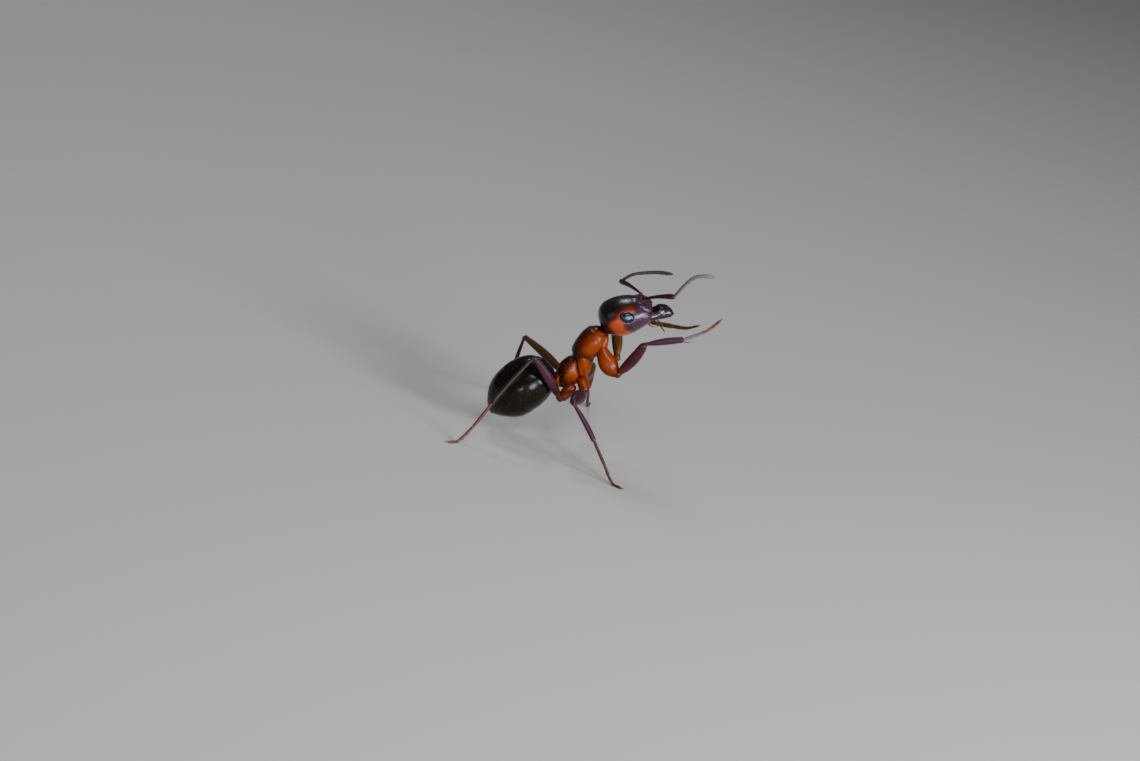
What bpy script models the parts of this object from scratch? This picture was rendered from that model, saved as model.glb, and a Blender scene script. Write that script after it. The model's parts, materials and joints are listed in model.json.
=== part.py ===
"""A red wood ant worker at life size, rearing to hold something up with its jaws and fore legs.

The ant faces +X, its left side is +Y, and it stands on z = 0 on its middle and hind feet. The
shell is built plate by plate: the head with its eyes, jaws and elbowed antennae, the three
plates of the trunk, the waist scale, the gaster, and six legs of four lengths each. Where two
plates meet, the smaller one is hollowed out to fit round the larger, with a thin gap between.
"""

import math

import bmesh
import bpy
from mathutils import Matrix, Vector

MM = 0.001
GAP = 0.03 * MM  # the thin cut between two plates that meet
LIMB_RADIUS = 0.23 * MM  # the slenderest lengths of the legs and antennae are kept this stout

HEAD_LENGTH = 2.12 * MM
HEAD_WIDTH = 2.02 * MM
HEAD_CENTRE = Vector((1.30, 0, 5.74)) * MM
HEAD_PITCH = 19  # degrees, nose up
EYE_SIZE = Vector((0.60, 0.34, 0.44)) * MM
EYE_PLACE = Vector((0.03, 0.86, 0.22)) * MM  # on the left cheek, from the head's centre

TRUNK_CENTRE = Vector((-0.08, 0, 3.45)) * MM
TRUNK_PITCH = 62  # the trunk rears up this far from level

WAIST_CENTRE = Vector((-0.74, 0, 2.52)) * MM
WAIST_PITCH = -8
GASTER_CENTRE = Vector((-2.23, 0, 1.95)) * MM
GASTER_PITCH = 62  # in line with the trunk, and hung from the low end of its front face

SHELL_RED = (0.33, 0.055, 0.012)
CHEEK_RED = (0.36, 0.07, 0.015)
GASTER_BLACK = (0.012, 0.010, 0.009)
LEG_BROWN = (0.085, 0.022, 0.022)
EYE_BLACK = (0.010, 0.012, 0.018)


def material(name, colour, roughness):
    """A glossy horn-like finish, made once for each name."""
    found = bpy.data.materials.get(name)
    if found:
        return found
    made = bpy.data.materials.new(name)
    made.use_nodes = True
    shader = made.node_tree.nodes["Principled BSDF"]
    shader.inputs["Base Color"].default_value = (*colour, 1)
    shader.inputs["Roughness"].default_value = roughness
    shader.inputs["Metallic"].default_value = 0
    return made


def red_shell():
    return material("red_shell", SHELL_RED, 0.32)


def head_shell():
    return material("head_shell", CHEEK_RED, 0.30)


def black_shell():
    return material("black_shell", GASTER_BLACK, 0.28)


def leg_shell():
    return material("leg_shell", LEG_BROWN, 0.38)


def eye_shell():
    return material("eye_shell", EYE_BLACK, 0.18)


def add_object(name, form, finish):
    """Turns a bmesh into a smooth-shaded object of that name and finish."""
    bmesh.ops.recalc_face_normals(form, faces=form.faces)
    mesh = bpy.data.meshes.new(name)
    form.to_mesh(mesh)
    form.free()
    mesh.materials.append(finish)
    mesh.shade_smooth()
    mesh.set_sharp_from_angle(angle=math.radians(50))
    made = bpy.data.objects.new(name, mesh)
    bpy.context.scene.collection.objects.link(made)
    return made


def close_rings(form, rings):
    """Bridges each ring of vertices to the next and caps both ends."""
    for here, after in zip(rings, rings[1:]):
        for i in range(len(here)):
            j = (i + 1) % len(here)
            form.faces.new((here[i], here[j], after[j], after[i]))
    form.faces.new(rings[0])
    form.faces.new(reversed(rings[-1]))


def between(stations, x):
    """The sizes at x, on a smooth curve through the stations either side of it."""
    spans = range(len(stations) - 1)
    k = next((k for k in spans if stations[k + 1][0] >= x), len(stations) - 2)
    before = stations[max(k - 1, 0)]
    start, end = stations[k], stations[k + 1]
    after = stations[min(k + 2, len(stations) - 1)]
    span = end[0] - start[0]
    t = (x - start[0]) / span
    sizes = []
    for a, b, c, d in zip(before[1:], start[1:], end[1:], after[1:]):
        rise_in = (c - a) / (end[0] - before[0]) * span
        rise_out = (d - b) / (after[0] - start[0]) * span
        sizes.append(
            b * (2 * t**3 - 3 * t**2 + 1)
            + rise_in * (t**3 - 2 * t**2 + t)
            + c * (3 * t**2 - 2 * t**3)
            + rise_out * (t**3 - t**2)
        )
    return sizes


def plate(name, stations, ring_count, finish, segments=20):
    """A shell plate lofted along x. Each station, in millimetres, is x, half width, top and
    underside; a ring between two stations lies on a smooth curve through them."""
    form = bmesh.new()
    rings = []
    first, last = stations[0][0], stations[-1][0]
    for k in range(ring_count):
        # rings crowd towards both ends, where the shell turns in
        x = first + (last - first) * (1 - math.cos(math.pi * k / (ring_count - 1))) / 2
        half_width, top, under = between(stations, x)
        middle, half_height = (top + under) / 2, (top - under) / 2
        ring = []
        for i in range(segments):
            turn = math.tau * i / segments
            across = half_width * math.cos(turn)
            up = middle + half_height * math.sin(turn)
            ring.append(form.verts.new(Vector((x, across, up)) * MM))
        rings.append(ring)
    close_rings(form, rings)
    return add_object(name, form, finish)


def ball(name, size, finish, rings=8, segments=14):
    """An ellipsoid of that full size on each axis."""
    form = bmesh.new()
    bmesh.ops.create_uvsphere(form, u_segments=segments, v_segments=rings, radius=0.5)
    bmesh.ops.scale(form, vec=size, verts=form.verts)
    return add_object(name, form, finish)


def limb(name, points, radii, finish, segments=10):
    """A round length of leg, jaw or antenna along the points, with a radius at each. It starts a
    little narrower, inside the joint it grows from, and its far end is rounded like a ball."""
    ahead = (points[-1] - points[-2]).normalized()
    path = [*points, points[-1] + ahead * radii[-1] * 0.55, points[-1] + ahead * radii[-1] * 0.9]
    sizes = [radii[0] * 0.8, *radii[1:], radii[-1] * 0.82, radii[-1] * 0.38]
    form = bmesh.new()
    rings = []
    side = None
    for k, (point, radius) in enumerate(zip(path, sizes)):
        ahead = (path[min(k + 1, len(path) - 1)] - path[max(k - 1, 0)]).normalized()
        if side is None:
            side = ahead.orthogonal().normalized()
        side = (side - ahead * side.dot(ahead)).normalized()
        other = ahead.cross(side)
        ring = []
        for i in range(segments):
            turn = math.tau * i / segments
            offset = side * math.cos(turn) + other * math.sin(turn)
            ring.append(form.verts.new(point + offset * radius))
        rings.append(ring)
    close_rings(form, rings)
    return add_object(name, form, finish)


def place(piece, centre, pitch):
    """Sets a piece at its centre, tipped nose up by the pitch."""
    piece.location = centre
    piece.rotation_euler = (0, -math.radians(pitch), 0)
    bpy.context.view_layer.update()


def hollow_to_fit(piece, *neighbours):
    """Cuts from the piece the space that each neighbour takes, plus the thin gap."""
    for neighbour in neighbours:
        cutter = bpy.data.objects.get(neighbour.name + "_room")
        if cutter is None:
            form = bmesh.new()
            form.from_mesh(neighbour.data)
            form.normal_update()
            for vertex in form.verts:
                vertex.co += vertex.normal * GAP
            cutter = add_object(neighbour.name + "_room", form, red_shell())
            cutter.matrix_world = neighbour.matrix_world
            cutter.hide_render = True
            cutter.display_type = "WIRE"
        cut = piece.modifiers.new("fit_" + neighbour.name, "BOOLEAN")
        cut.operation = "DIFFERENCE"
        cut.solver = "EXACT"
        cut.object = cutter


def heading(bearing, rise, side):
    """A unit direction: bearing in degrees from straight ahead towards the limb's own side,
    rise in degrees above level."""
    flat = math.cos(math.radians(rise))
    return Vector(
        (
            flat * math.cos(math.radians(bearing)),
            side * flat * math.sin(math.radians(bearing)),
            math.sin(math.radians(rise)),
        )
    )


def tipped(local, centre, pitch):
    """A point given from a plate's own centre, in millimetres, as a point of the ant."""
    turn = Matrix.Rotation(-math.radians(pitch), 3, "Y")
    return centre + turn @ (Vector(local) * MM)


def smooth_path(points, steps):
    """Points on a smooth curve through the given ones, ends included."""
    path = []
    for k in range(len(points) - 1):
        before = points[max(k - 1, 0)]
        start, end = points[k], points[k + 1]
        after = points[min(k + 2, len(points) - 1)]
        for s in range(steps):
            t = s / steps
            path.append(
                0.5
                * (
                    2 * start
                    + (end - before) * t
                    + (2 * before - 5 * start + 4 * end - after) * t**2
                    + (3 * start - before - 3 * end + after) * t**3
                )
            )
    return path + [points[-1]]


# ---------------------------------------------------------------- trunk, waist and gaster


def make_trunk():
    """The pronotum with the neck, the middle plate, and the propodeum behind the groove."""
    pronotum = plate(
        "pronotum",
        [
            (0.60, 0.50, 0.69, -0.40),
            (0.85, 0.62, 0.74, -0.42),
            (1.15, 0.66, 0.73, -0.36),
            (1.45, 0.52, 0.58, -0.27),
            (1.64, 0.34, 0.38, -0.20),
            (1.80, 0.22, 0.22, -0.16),
            (2.05, 0.19, 0.18, -0.16),
        ],
        9,
        red_shell(),
    )
    middle = plate(
        "mesothorax",
        [
            (-0.30, 0.46, 0.46, -0.60),
            (0.02, 0.47, 0.42, -0.62),
            (0.18, 0.48, 0.47, -0.56),
            (0.36, 0.50, 0.62, -0.47),
            (0.57, 0.49, 0.69, -0.40),
        ],
        7,
        red_shell(),
    )
    rear = plate(
        "propodeum",
        [
            (-1.10, 0.15, 0.08, -0.18),
            (-1.03, 0.29, 0.19, -0.30),
            (-0.88, 0.41, 0.34, -0.45),
            (-0.66, 0.49, 0.48, -0.57),
            (-0.45, 0.50, 0.53, -0.61),
            (-0.33, 0.46, 0.47, -0.60),
        ],
        8,
        red_shell(),
    )
    for part in (pronotum, middle, rear):
        place(part, TRUNK_CENTRE, TRUNK_PITCH)
    return pronotum, middle, rear


def make_gaster():
    """The egg-shaped gaster: blunt and high in front, drawn to a point behind."""
    gaster = plate(
        "gaster",
        [
            (-1.47, 0.08, 0.14, -0.06),
            (-1.38, 0.30, 0.28, -0.36),
            (-1.00, 0.74, 0.58, -0.94),
            (-0.45, 1.01, 0.87, -1.08),
            (0.24, 1.12, 0.94, -1.11),
            (0.88, 0.97, 0.80, -1.00),
            (1.28, 0.64, 0.52, -0.70),
            (1.50, 0.22, 0.16, -0.30),
        ],
        13,
        black_shell(),
        segments=24,
    )
    place(gaster, GASTER_CENTRE, GASTER_PITCH)
    return gaster


def make_waist(propodeum, gaster):
    """The petiole: a stalk that carries one upright scale between trunk and gaster."""
    scale = plate(
        "petiole",
        [
            (-0.32, 0.20, 0.08, -0.22),
            (-0.19, 0.34, 0.28, -0.24),
            (-0.08, 0.43, 0.38, -0.25),
            (0.03, 0.40, 0.36, -0.24),
            (0.13, 0.27, 0.18, -0.22),
            (0.34, 0.20, 0.06, -0.20),
        ],
        8,
        red_shell(),
        segments=16,
    )
    place(scale, WAIST_CENTRE, WAIST_PITCH)
    hollow_to_fit(scale, propodeum, gaster)
    return scale


# ---------------------------------------------------------------- head


def make_head():
    """The head capsule: broad behind, flatter below, narrowing to the mouth."""
    half = HEAD_WIDTH / MM / 2
    end = HEAD_LENGTH / MM / 2
    head = plate(
        "head",
        [
            (-end, 0.30 * half, 0.30, -0.16),
            (-0.93 * end, 0.60 * half, 0.47, -0.40),
            (-0.70 * end, 0.88 * half, 0.64, -0.62),
            (-0.25 * end, half, 0.78, -0.76),
            (0.20 * end, 0.96 * half, 0.79, -0.70),
            (0.60 * end, 0.80 * half, 0.66, -0.52),
            (0.90 * end, 0.62 * half, 0.46, -0.34),
            (end, 0.42 * half, 0.28, -0.22),
        ],
        13,
        head_shell(),
        segments=24,
    )
    place(head, HEAD_CENTRE, HEAD_PITCH)
    return head


def make_eyes(head):
    """An oval eye on each cheek, standing a little proud of its socket."""
    eyes = []
    for side, word in ((1, "left"), (-1, "right")):
        eye = ball("eye_" + word, EYE_SIZE, eye_shell())
        spot = (EYE_PLACE.x / MM, side * EYE_PLACE.y / MM, EYE_PLACE.z / MM)
        place(eye, tipped(spot, HEAD_CENTRE, HEAD_PITCH), HEAD_PITCH)
        hollow_to_fit(head, eye)
        eyes.append(eye)
    return eyes


def make_jaws(head):
    """Each mandible is a stout root that widens into a curved, flattened blade."""
    for side, word in ((1, "left"), (-1, "right")):
        route = [(0.84, 0.38, 0.14), (1.26, 0.45, 0.18), (1.60, 0.40, 0.16), (1.84, 0.23, 0.05)]
        points = [tipped((x, side * y, z), HEAD_CENTRE, HEAD_PITCH) for x, y, z in route]
        radii = [0.22 * MM, 0.22 * MM, 0.25 * MM, 0.17 * MM]
        jaw = limb("mandible_" + word, smooth_path(points, 2), resampled(radii, 2), leg_shell())
        hollow_to_fit(jaw, head)


def resampled(sizes, steps):
    """Sizes blended to match a smooth path's extra points."""
    made = []
    for start, end in zip(sizes, sizes[1:]):
        made += [start + (end - start) * s / steps for s in range(steps)]
    return made + [sizes[-1]]


# ---------------------------------------------------------------- antennae

SCAPE_LENGTH = 2.05 * MM
ANTENNA_ROOT = (0.76, 0.30, 0.71)  # on the face, from the head's centre
# bearing and rise of the long first joint, then of the four bends of the beaded whip
ANTENNA_POSE = {
    "right": ((60, 24), ((-4, 62), (-35, 38), (-32, 8), (-33, -8))),
    "left": ((109, -6), ((12, 38), (15, 15), (5, 12), (-6, 6))),
}
WHIP_BEND = 0.56 * MM


def make_antennae(head):
    """Elbowed antennae: a straight scape from the face, then a curved whip of short joints."""
    for side, word in ((1, "left"), (-1, "right")):
        (bearing, rise), bends = ANTENNA_POSE[word]
        x, y, z = ANTENNA_ROOT
        root = tipped((x, side * y, z), HEAD_CENTRE, HEAD_PITCH)
        elbow = root + heading(bearing, rise, side) * SCAPE_LENGTH
        scape = limb(
            "scape_" + word,
            [root, root.lerp(elbow, 0.5), elbow],
            [LIMB_RADIUS, LIMB_RADIUS, LIMB_RADIUS * 1.06],
            leg_shell(),
        )
        corners = [elbow]
        for turn, lift in bends:
            corners.append(corners[-1] + heading(turn, lift, side) * WHIP_BEND)
        path = smooth_path(corners, 2)
        whip = limb("funiculus_" + word, path, [LIMB_RADIUS] * len(path), leg_shell())
        hollow_to_fit(scape, head)
        hollow_to_fit(whip, scape)


# ---------------------------------------------------------------- legs

# lengths of coxa, femur, tibia and tarsus of each pair
LEG_LENGTHS = {
    "fore": (1.38, 1.92, 1.58, 2.10),
    "mid": (0.68, 1.92, 1.75, 2.20),
    "hind": (0.79, 2.46, 2.46, 2.40),
}
# radius of the coxa at its two ends and its middle, and of the femur at its middle
COXA_RADII = {"fore": (0.28, 0.37, 0.23), "mid": (0.28, 0.32, 0.25), "hind": (0.28, 0.32, 0.25)}
FEMUR_MIDDLE = {"fore": 0.27, "mid": 0.25, "hind": 0.25}
# where each coxa grows from the trunk, from the trunk's centre
HIP_PLACES = {"fore": (1.22, 0.34, -0.12), "mid": (-0.31, 0.30, -0.44), "hind": (-0.76, 0.30, -0.44)}
# bearing and rise of coxa, femur and tibia, then the bearing of the tarsus
STANCE = {
    ("fore", "right"): ((24, -46), (46, 61), (8, 22)),
    ("fore", "left"): ((30, -37), (109, 48), (-20, 5)),
    ("mid", "right"): ((56, -48), (110, 3), (30, -43), 39),
    ("mid", "left"): ((56, -48), (75, 5), (80, -50), 75),
    ("hind", "right"): ((145, -48), (152, 45), (157, -56), 148),
    ("hind", "left"): ((112, -4), (137, 16), (97, -72), 56),
}
# the fore feet don't reach the ground: bearing and rise of their three bends
GRIP = {"right": ((-46, 9), (-35, 28), (-6, 52)), "left": ((-29, 10), (-31, 16), (-28, 30))}
GRIP_SHARES = (0.62, 0.16, 0.22)  # of the tarsus's length that lies on each bend
TARSUS_SAG = {"mid": 0.0, "hind": 0.14 * MM}  # how far the standing tarsi bow downwards
TOE_REST = 0.13 * MM  # height of the toe's middle above the ground
TOE_LENGTH = 0.42 * MM


def cut_at_ground(piece):
    """Trims what lies below z = 0, which leaves the flat sole of a foot."""
    form = bmesh.new()
    form.from_mesh(piece.data)
    bmesh.ops.bisect_plane(
        form,
        geom=form.verts[:] + form.edges[:] + form.faces[:],
        plane_co=(0, 0, 0),
        plane_no=(0, 0, -1),
        clear_outer=True,
    )
    rim = [edge for edge in form.edges if edge.is_boundary]
    bmesh.ops.contextual_create(form, geom=rim)
    form.to_mesh(piece.data)
    form.free()


def standing_tarsus(ankle, bearing, length, side, sag):
    """From the ankle down to the ground, ending in a toe that lies flat on it."""
    drop = ankle.z - TOE_REST
    slope = length - TOE_LENGTH
    rise = -math.degrees(math.asin(drop / slope))
    heel = ankle + heading(bearing, rise, side) * slope
    toe = heel + heading(bearing, 0, side) * TOE_LENGTH
    return [ankle, ankle.lerp(heel, 0.5) - Vector((0, 0, sag)), heel, toe]


def gripping_tarsus(ankle, bends, length, side):
    """From the ankle forward, hooked at the end as if round a stem."""
    corners = [ankle]
    for bend, share in zip(bends, GRIP_SHARES):
        corners.append(corners[-1] + heading(*bend, side) * length * share)
    return smooth_path(corners, 2)


def make_leg(pair, word, trunk):
    side = 1 if word == "left" else -1
    coxa_length, femur_length, tibia_length, tarsus_length = (x * MM for x in LEG_LENGTHS[pair])
    pose = STANCE[pair, word]
    x, y, z = HIP_PLACES[pair]
    hip = tipped((x, side * y, z), TRUNK_CENTRE, TRUNK_PITCH)
    trochanter = hip + heading(*pose[0], side) * coxa_length
    knee = trochanter + heading(*pose[1], side) * femur_length
    ankle = knee + heading(*pose[2], side) * tibia_length
    tail = "_" + pair + "_" + word
    slender = LIMB_RADIUS / MM
    lengths = []
    for part, start, end, radii, finish in (
        ("coxa", hip, trochanter, COXA_RADII[pair], red_shell()),
        ("femur", trochanter, knee, (slender, FEMUR_MIDDLE[pair], slender), leg_shell()),
        ("tibia", knee, ankle, (slender, slender, slender), leg_shell()),
    ):
        points = [start, start.lerp(end, 0.5), end]
        lengths.append(limb(part + tail, points, [r * MM for r in radii], finish))
    if pair == "fore":
        path = gripping_tarsus(ankle, GRIP[word], tarsus_length, side)
    else:
        path = standing_tarsus(ankle, pose[3], tarsus_length, side, TARSUS_SAG[pair])
    tarsus = limb("tarsus" + tail, path, [LIMB_RADIUS] * len(path), leg_shell(), segments=8)
    if pair != "fore":
        cut_at_ground(tarsus)
    lengths.append(tarsus)
    hollow_to_fit(lengths[0], *trunk)
    for inner, outer in zip(lengths, lengths[1:]):
        hollow_to_fit(outer, inner)


def stand_over_origin():
    """Hangs every piece from one empty, which brings the middle of the ant's length and breadth
    over the origin."""
    bpy.context.view_layer.update()
    graph = bpy.context.evaluated_depsgraph_get()
    pieces = [item for item in bpy.data.objects if item.type == "MESH"]
    points = []
    for piece in pieces:
        if not piece.hide_render:
            shell = piece.evaluated_get(graph).to_mesh()
            points += [piece.matrix_world @ vertex.co for vertex in shell.vertices]
    stance = bpy.data.objects.new("ant", None)
    bpy.context.scene.collection.objects.link(stance)
    for axis in (0, 1):
        reach = [point[axis] for point in points]
        stance.location[axis] = -(min(reach) + max(reach)) / 2
    for piece in pieces:
        piece.parent = stance


def make_ant():
    for leftover in list(bpy.data.objects):
        bpy.data.objects.remove(leftover, do_unlink=True)
    trunk = make_trunk()
    gaster = make_gaster()
    make_waist(trunk[2], gaster)
    head = make_head()
    hollow_to_fit(trunk[0], head)
    make_eyes(head)
    make_jaws(head)
    make_antennae(head)
    for pair in ("fore", "mid", "hind"):
        for word in ("left", "right"):
            make_leg(pair, word, trunk)
    stand_over_origin()


make_ant()
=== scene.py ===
"""A red wood ant worker at life size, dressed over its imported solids.

She stands on her middle and hind feet and rears, with her jaws and fore legs held up in front.
She faces +X and her left side is +Y. The sections follow her body: head, trunk, waist, gaster,
legs, then the bristles that grow from all of them.
"""

import json
import math
import bmesh
import bpy
from mathutils import Matrix, Vector

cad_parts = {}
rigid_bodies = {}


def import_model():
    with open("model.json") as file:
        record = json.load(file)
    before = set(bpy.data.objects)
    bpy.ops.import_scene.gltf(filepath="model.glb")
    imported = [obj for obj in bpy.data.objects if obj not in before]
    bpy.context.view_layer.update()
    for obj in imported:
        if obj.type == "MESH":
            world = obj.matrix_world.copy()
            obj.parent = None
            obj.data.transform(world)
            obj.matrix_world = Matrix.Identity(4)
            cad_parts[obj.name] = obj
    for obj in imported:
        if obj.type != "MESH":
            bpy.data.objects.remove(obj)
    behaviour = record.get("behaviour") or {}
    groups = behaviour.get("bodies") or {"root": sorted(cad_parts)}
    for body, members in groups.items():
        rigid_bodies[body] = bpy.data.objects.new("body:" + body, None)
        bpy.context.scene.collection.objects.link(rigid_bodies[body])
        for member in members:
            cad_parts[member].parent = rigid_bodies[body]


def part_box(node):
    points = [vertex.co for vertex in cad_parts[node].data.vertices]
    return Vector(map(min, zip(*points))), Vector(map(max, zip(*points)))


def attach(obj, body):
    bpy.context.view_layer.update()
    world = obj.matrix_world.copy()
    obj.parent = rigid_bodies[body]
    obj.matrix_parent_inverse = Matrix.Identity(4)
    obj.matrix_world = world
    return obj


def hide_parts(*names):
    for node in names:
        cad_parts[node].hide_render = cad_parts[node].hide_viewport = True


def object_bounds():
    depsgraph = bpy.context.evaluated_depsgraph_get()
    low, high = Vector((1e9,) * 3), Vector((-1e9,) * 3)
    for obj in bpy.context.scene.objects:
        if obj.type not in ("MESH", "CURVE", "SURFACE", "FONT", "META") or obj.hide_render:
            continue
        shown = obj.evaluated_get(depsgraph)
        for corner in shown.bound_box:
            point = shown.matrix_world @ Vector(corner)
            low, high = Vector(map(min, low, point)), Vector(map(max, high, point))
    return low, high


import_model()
solid_low, solid_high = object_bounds()


# ------------------------------------------------------------ floor, light and camera
# A plain pale floor under soft studio lamps, set round the ant. A long lens looks a little down on
# her right side, and is rolled so that she climbs across the view.

MM = 0.001
ant_middle = (Vector(solid_low) + Vector(solid_high)) / 2

FLOOR_HALF = 600 * MM
FLOOR_COLOUR = (0.47, 0.46, 0.435, 1)
FLOOR_ROUGHNESS = 0.85
SKY_COLOUR = (0.74, 0.80, 0.88, 1)
SKY_STRENGTH = 0.11

floor_form = bmesh.new()
bmesh.ops.create_grid(floor_form, x_segments=2, y_segments=2, size=FLOOR_HALF)
floor_mesh = bpy.data.meshes.new("floor")
floor_form.to_mesh(floor_mesh)
floor_form.free()
floor = bpy.data.objects.new("floor", floor_mesh)
bpy.context.scene.collection.objects.link(floor)
floor_finish = bpy.data.materials.new("pale_floor")
floor_finish.use_nodes = True
floor_shader = floor_finish.node_tree.nodes["Principled BSDF"]
floor_shader.inputs["Base Color"].default_value = FLOOR_COLOUR
floor_shader.inputs["Roughness"].default_value = FLOOR_ROUGHNESS
floor_mesh.materials.append(floor_finish)

sky = bpy.data.worlds.new("soft_sky")
sky.use_nodes = True
sky_light = sky.node_tree.nodes["Background"]
sky_light.inputs["Color"].default_value = SKY_COLOUR
sky_light.inputs["Strength"].default_value = SKY_STRENGTH
bpy.context.scene.world = sky


def heading(bearing, lift, side=1):
    """A unit direction: bearing in degrees from straight ahead towards the ant's left, or towards
    her right where side is -1, and lift in degrees above level."""
    bearing, lift = math.radians(bearing), math.radians(lift)
    flat = math.cos(lift)
    return Vector((flat * math.cos(bearing), side * flat * math.sin(bearing), math.sin(lift)))


# name, bearing, lift, distance, width (mm), watts, colour
LAMPS = (
    ("key_lamp", -80, 48, 120, 44, 0.060, (1.0, 0.97, 0.92)),
    ("window_lamp", -69, 6, 110, 38, 0.092, (0.82, 0.89, 1.0)),
    ("front_lamp", -43, 20, 110, 34, 0.115, (0.88, 0.89, 1.0)),
    ("low_front_lamp", -24, 2, 110, 13, 0.026, (1.0, 0.92, 0.96)),
    ("low_lamp", -103, 0, 110, 7, 0.0110, (0.95, 0.97, 1.0)),
    ("fill_lamp", -150, 30, 130, 70, 0.013, (0.90, 0.94, 1.0)),
    ("rim_lamp", 105, 54, 120, 30, 0.036, (0.86, 0.88, 1.0)),
)
for name, bearing, lift, distance, width, watts, colour in LAMPS:
    lamp = bpy.data.lights.new(name, "AREA")
    lamp.shape = "DISK"
    lamp.size = width * MM
    lamp.energy = watts
    lamp.color = colour
    away = heading(bearing, lift)
    stand = bpy.data.objects.new(name, lamp)
    stand.location = ant_middle + away * distance * MM
    stand.rotation_euler = away.to_track_quat("Z", "Y").to_euler()
    bpy.context.scene.collection.objects.link(stand)

VIEW_AZIMUTH, VIEW_RISE, VIEW_ROLL = (math.radians(angle) for angle in (-8, 18, 14))
VIEW_DISTANCE = 150 * MM
VIEW_WIDTH = 45.6 * MM  # what the view spans, side to side, at the ant
# how far the view's middle lies from the ant's, along its own two sides
VIEW_SHIFT = (-0.711 * MM, -1.681 * MM)
level = Vector((math.cos(VIEW_AZIMUTH), math.sin(VIEW_AZIMUTH), 0))
ahead = Vector(
    (
        -math.sin(VIEW_AZIMUTH) * math.cos(VIEW_RISE),
        math.cos(VIEW_AZIMUTH) * math.cos(VIEW_RISE),
        -math.sin(VIEW_RISE),
    )
)
plumb = level.cross(ahead)
view_right = level * math.cos(VIEW_ROLL) + plumb * math.sin(VIEW_ROLL)
view_up = plumb * math.cos(VIEW_ROLL) - level * math.sin(VIEW_ROLL)
lens = bpy.data.cameras.new("long_lens")
lens.sensor_width = 36
lens.lens = lens.sensor_width * VIEW_DISTANCE / VIEW_WIDTH
lens.clip_start = VIEW_DISTANCE * 0.05
lens.clip_end = FLOOR_HALF * 10
camera = bpy.data.objects.new("camera", lens)
aim = ant_middle + view_right * VIEW_SHIFT[0] + view_up * VIEW_SHIFT[1]
facing = Matrix((view_right, view_up, -ahead)).transposed().to_4x4()
camera.matrix_world = Matrix.Translation(aim - ahead * VIEW_DISTANCE) @ facing
bpy.context.scene.collection.objects.link(camera)
bpy.context.scene.camera = camera


# ------------------------------------------------------------ head capsule
# The head is one thick shell of tanned cuticle: orange on the cheeks, nearly black over the crown
# and purple-brown in front of the eyes. The face carries two ridges, the pits that hold the
# antennae, and the shield over the mouth; a fine leathery grain covers all of it.


def between(stations, x):
    """The sizes at x, on a smooth curve through the stations either side of it."""
    spans = range(len(stations) - 1)
    k = next((k for k in spans if stations[k + 1][0] >= x), len(stations) - 2)
    before = stations[max(k - 1, 0)]
    start, end = stations[k], stations[k + 1]
    after = stations[min(k + 2, len(stations) - 1)]
    span = end[0] - start[0]
    t = min(max((x - start[0]) / span, 0), 1)
    sizes = []
    for a, b, c, d in zip(before[1:], start[1:], end[1:], after[1:]):
        rise_in = (c - a) / (end[0] - before[0]) * span
        rise_out = (d - b) / (after[0] - start[0]) * span
        sizes.append(
            b * (2 * t**3 - 3 * t**2 + 1)
            + rise_in * (t**3 - 2 * t**2 + t)
            + c * (3 * t**2 - 2 * t**3)
            + rise_out * (t**3 - t**2)
        )
    return sizes


def rise(x, start, end):
    """0 before start, 1 after end, and a smooth rise between them."""
    t = min(max((x - start) / (end - start), 0), 1)
    return t * t * (3 - 2 * t)


def swell(distance, width):
    """1 at no distance, fading smoothly to nothing a few widths away."""
    return math.exp(-((distance / width) ** 2))


def to_line(x, z, corners):
    """How far the point lies from a line through the corners, seen from the side."""
    best = 9.0
    for (ax, az), (bx, bz) in zip(corners, corners[1:]):
        dx, dz = bx - ax, bz - az
        t = min(max(((x - ax) * dx + (z - az) * dz) / (dx * dx + dz * dz), 0), 1)
        best = min(best, math.hypot(x - ax - t * dx, z - az - t * dz))
    return best


def seat(centre, pitch):
    """The place of a plate that is tipped nose up about its centre, for sizes in millimetres."""
    turn = Matrix.Rotation(-math.radians(pitch), 4, "Y")
    return Matrix.Translation(centre) @ turn @ Matrix.Scale(MM, 4)


def box_middle(node):
    low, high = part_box(node)
    return (Vector(low) + Vector(high)) / 2


def skin_over(form, rings):
    """Joins rings of vertices by faces, closes both ends and unwraps the skin: once round and once
    along."""
    unwrap = form.loops.layers.uv.get("unwrap") or form.loops.layers.uv.new("unwrap")
    around = len(rings[0])
    for k, (here, after) in enumerate(zip(rings, rings[1:])):
        for i in range(around):
            j = (i + 1) % around
            face = form.faces.new((here[i], here[j], after[j], after[i]))
            spots = ((i, k), (i + 1, k), (i + 1, k + 1), (i, k + 1))
            for loop, (u, v) in zip(face.loops, spots):
                loop[unwrap].uv = (u / around, v / (len(rings) - 1))
    for ring, v in ((rings[0], 0), (rings[-1], 1)):
        centre = form.verts.new(sum((vertex.co for vertex in ring), Vector()) / around)
        for i in range(around):
            face = form.faces.new((ring[i], ring[(i + 1) % around], centre))
            for loop, u in zip(face.loops, (i, i + 1, i + 0.5)):
                loop[unwrap].uv = (u / around, v)


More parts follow.
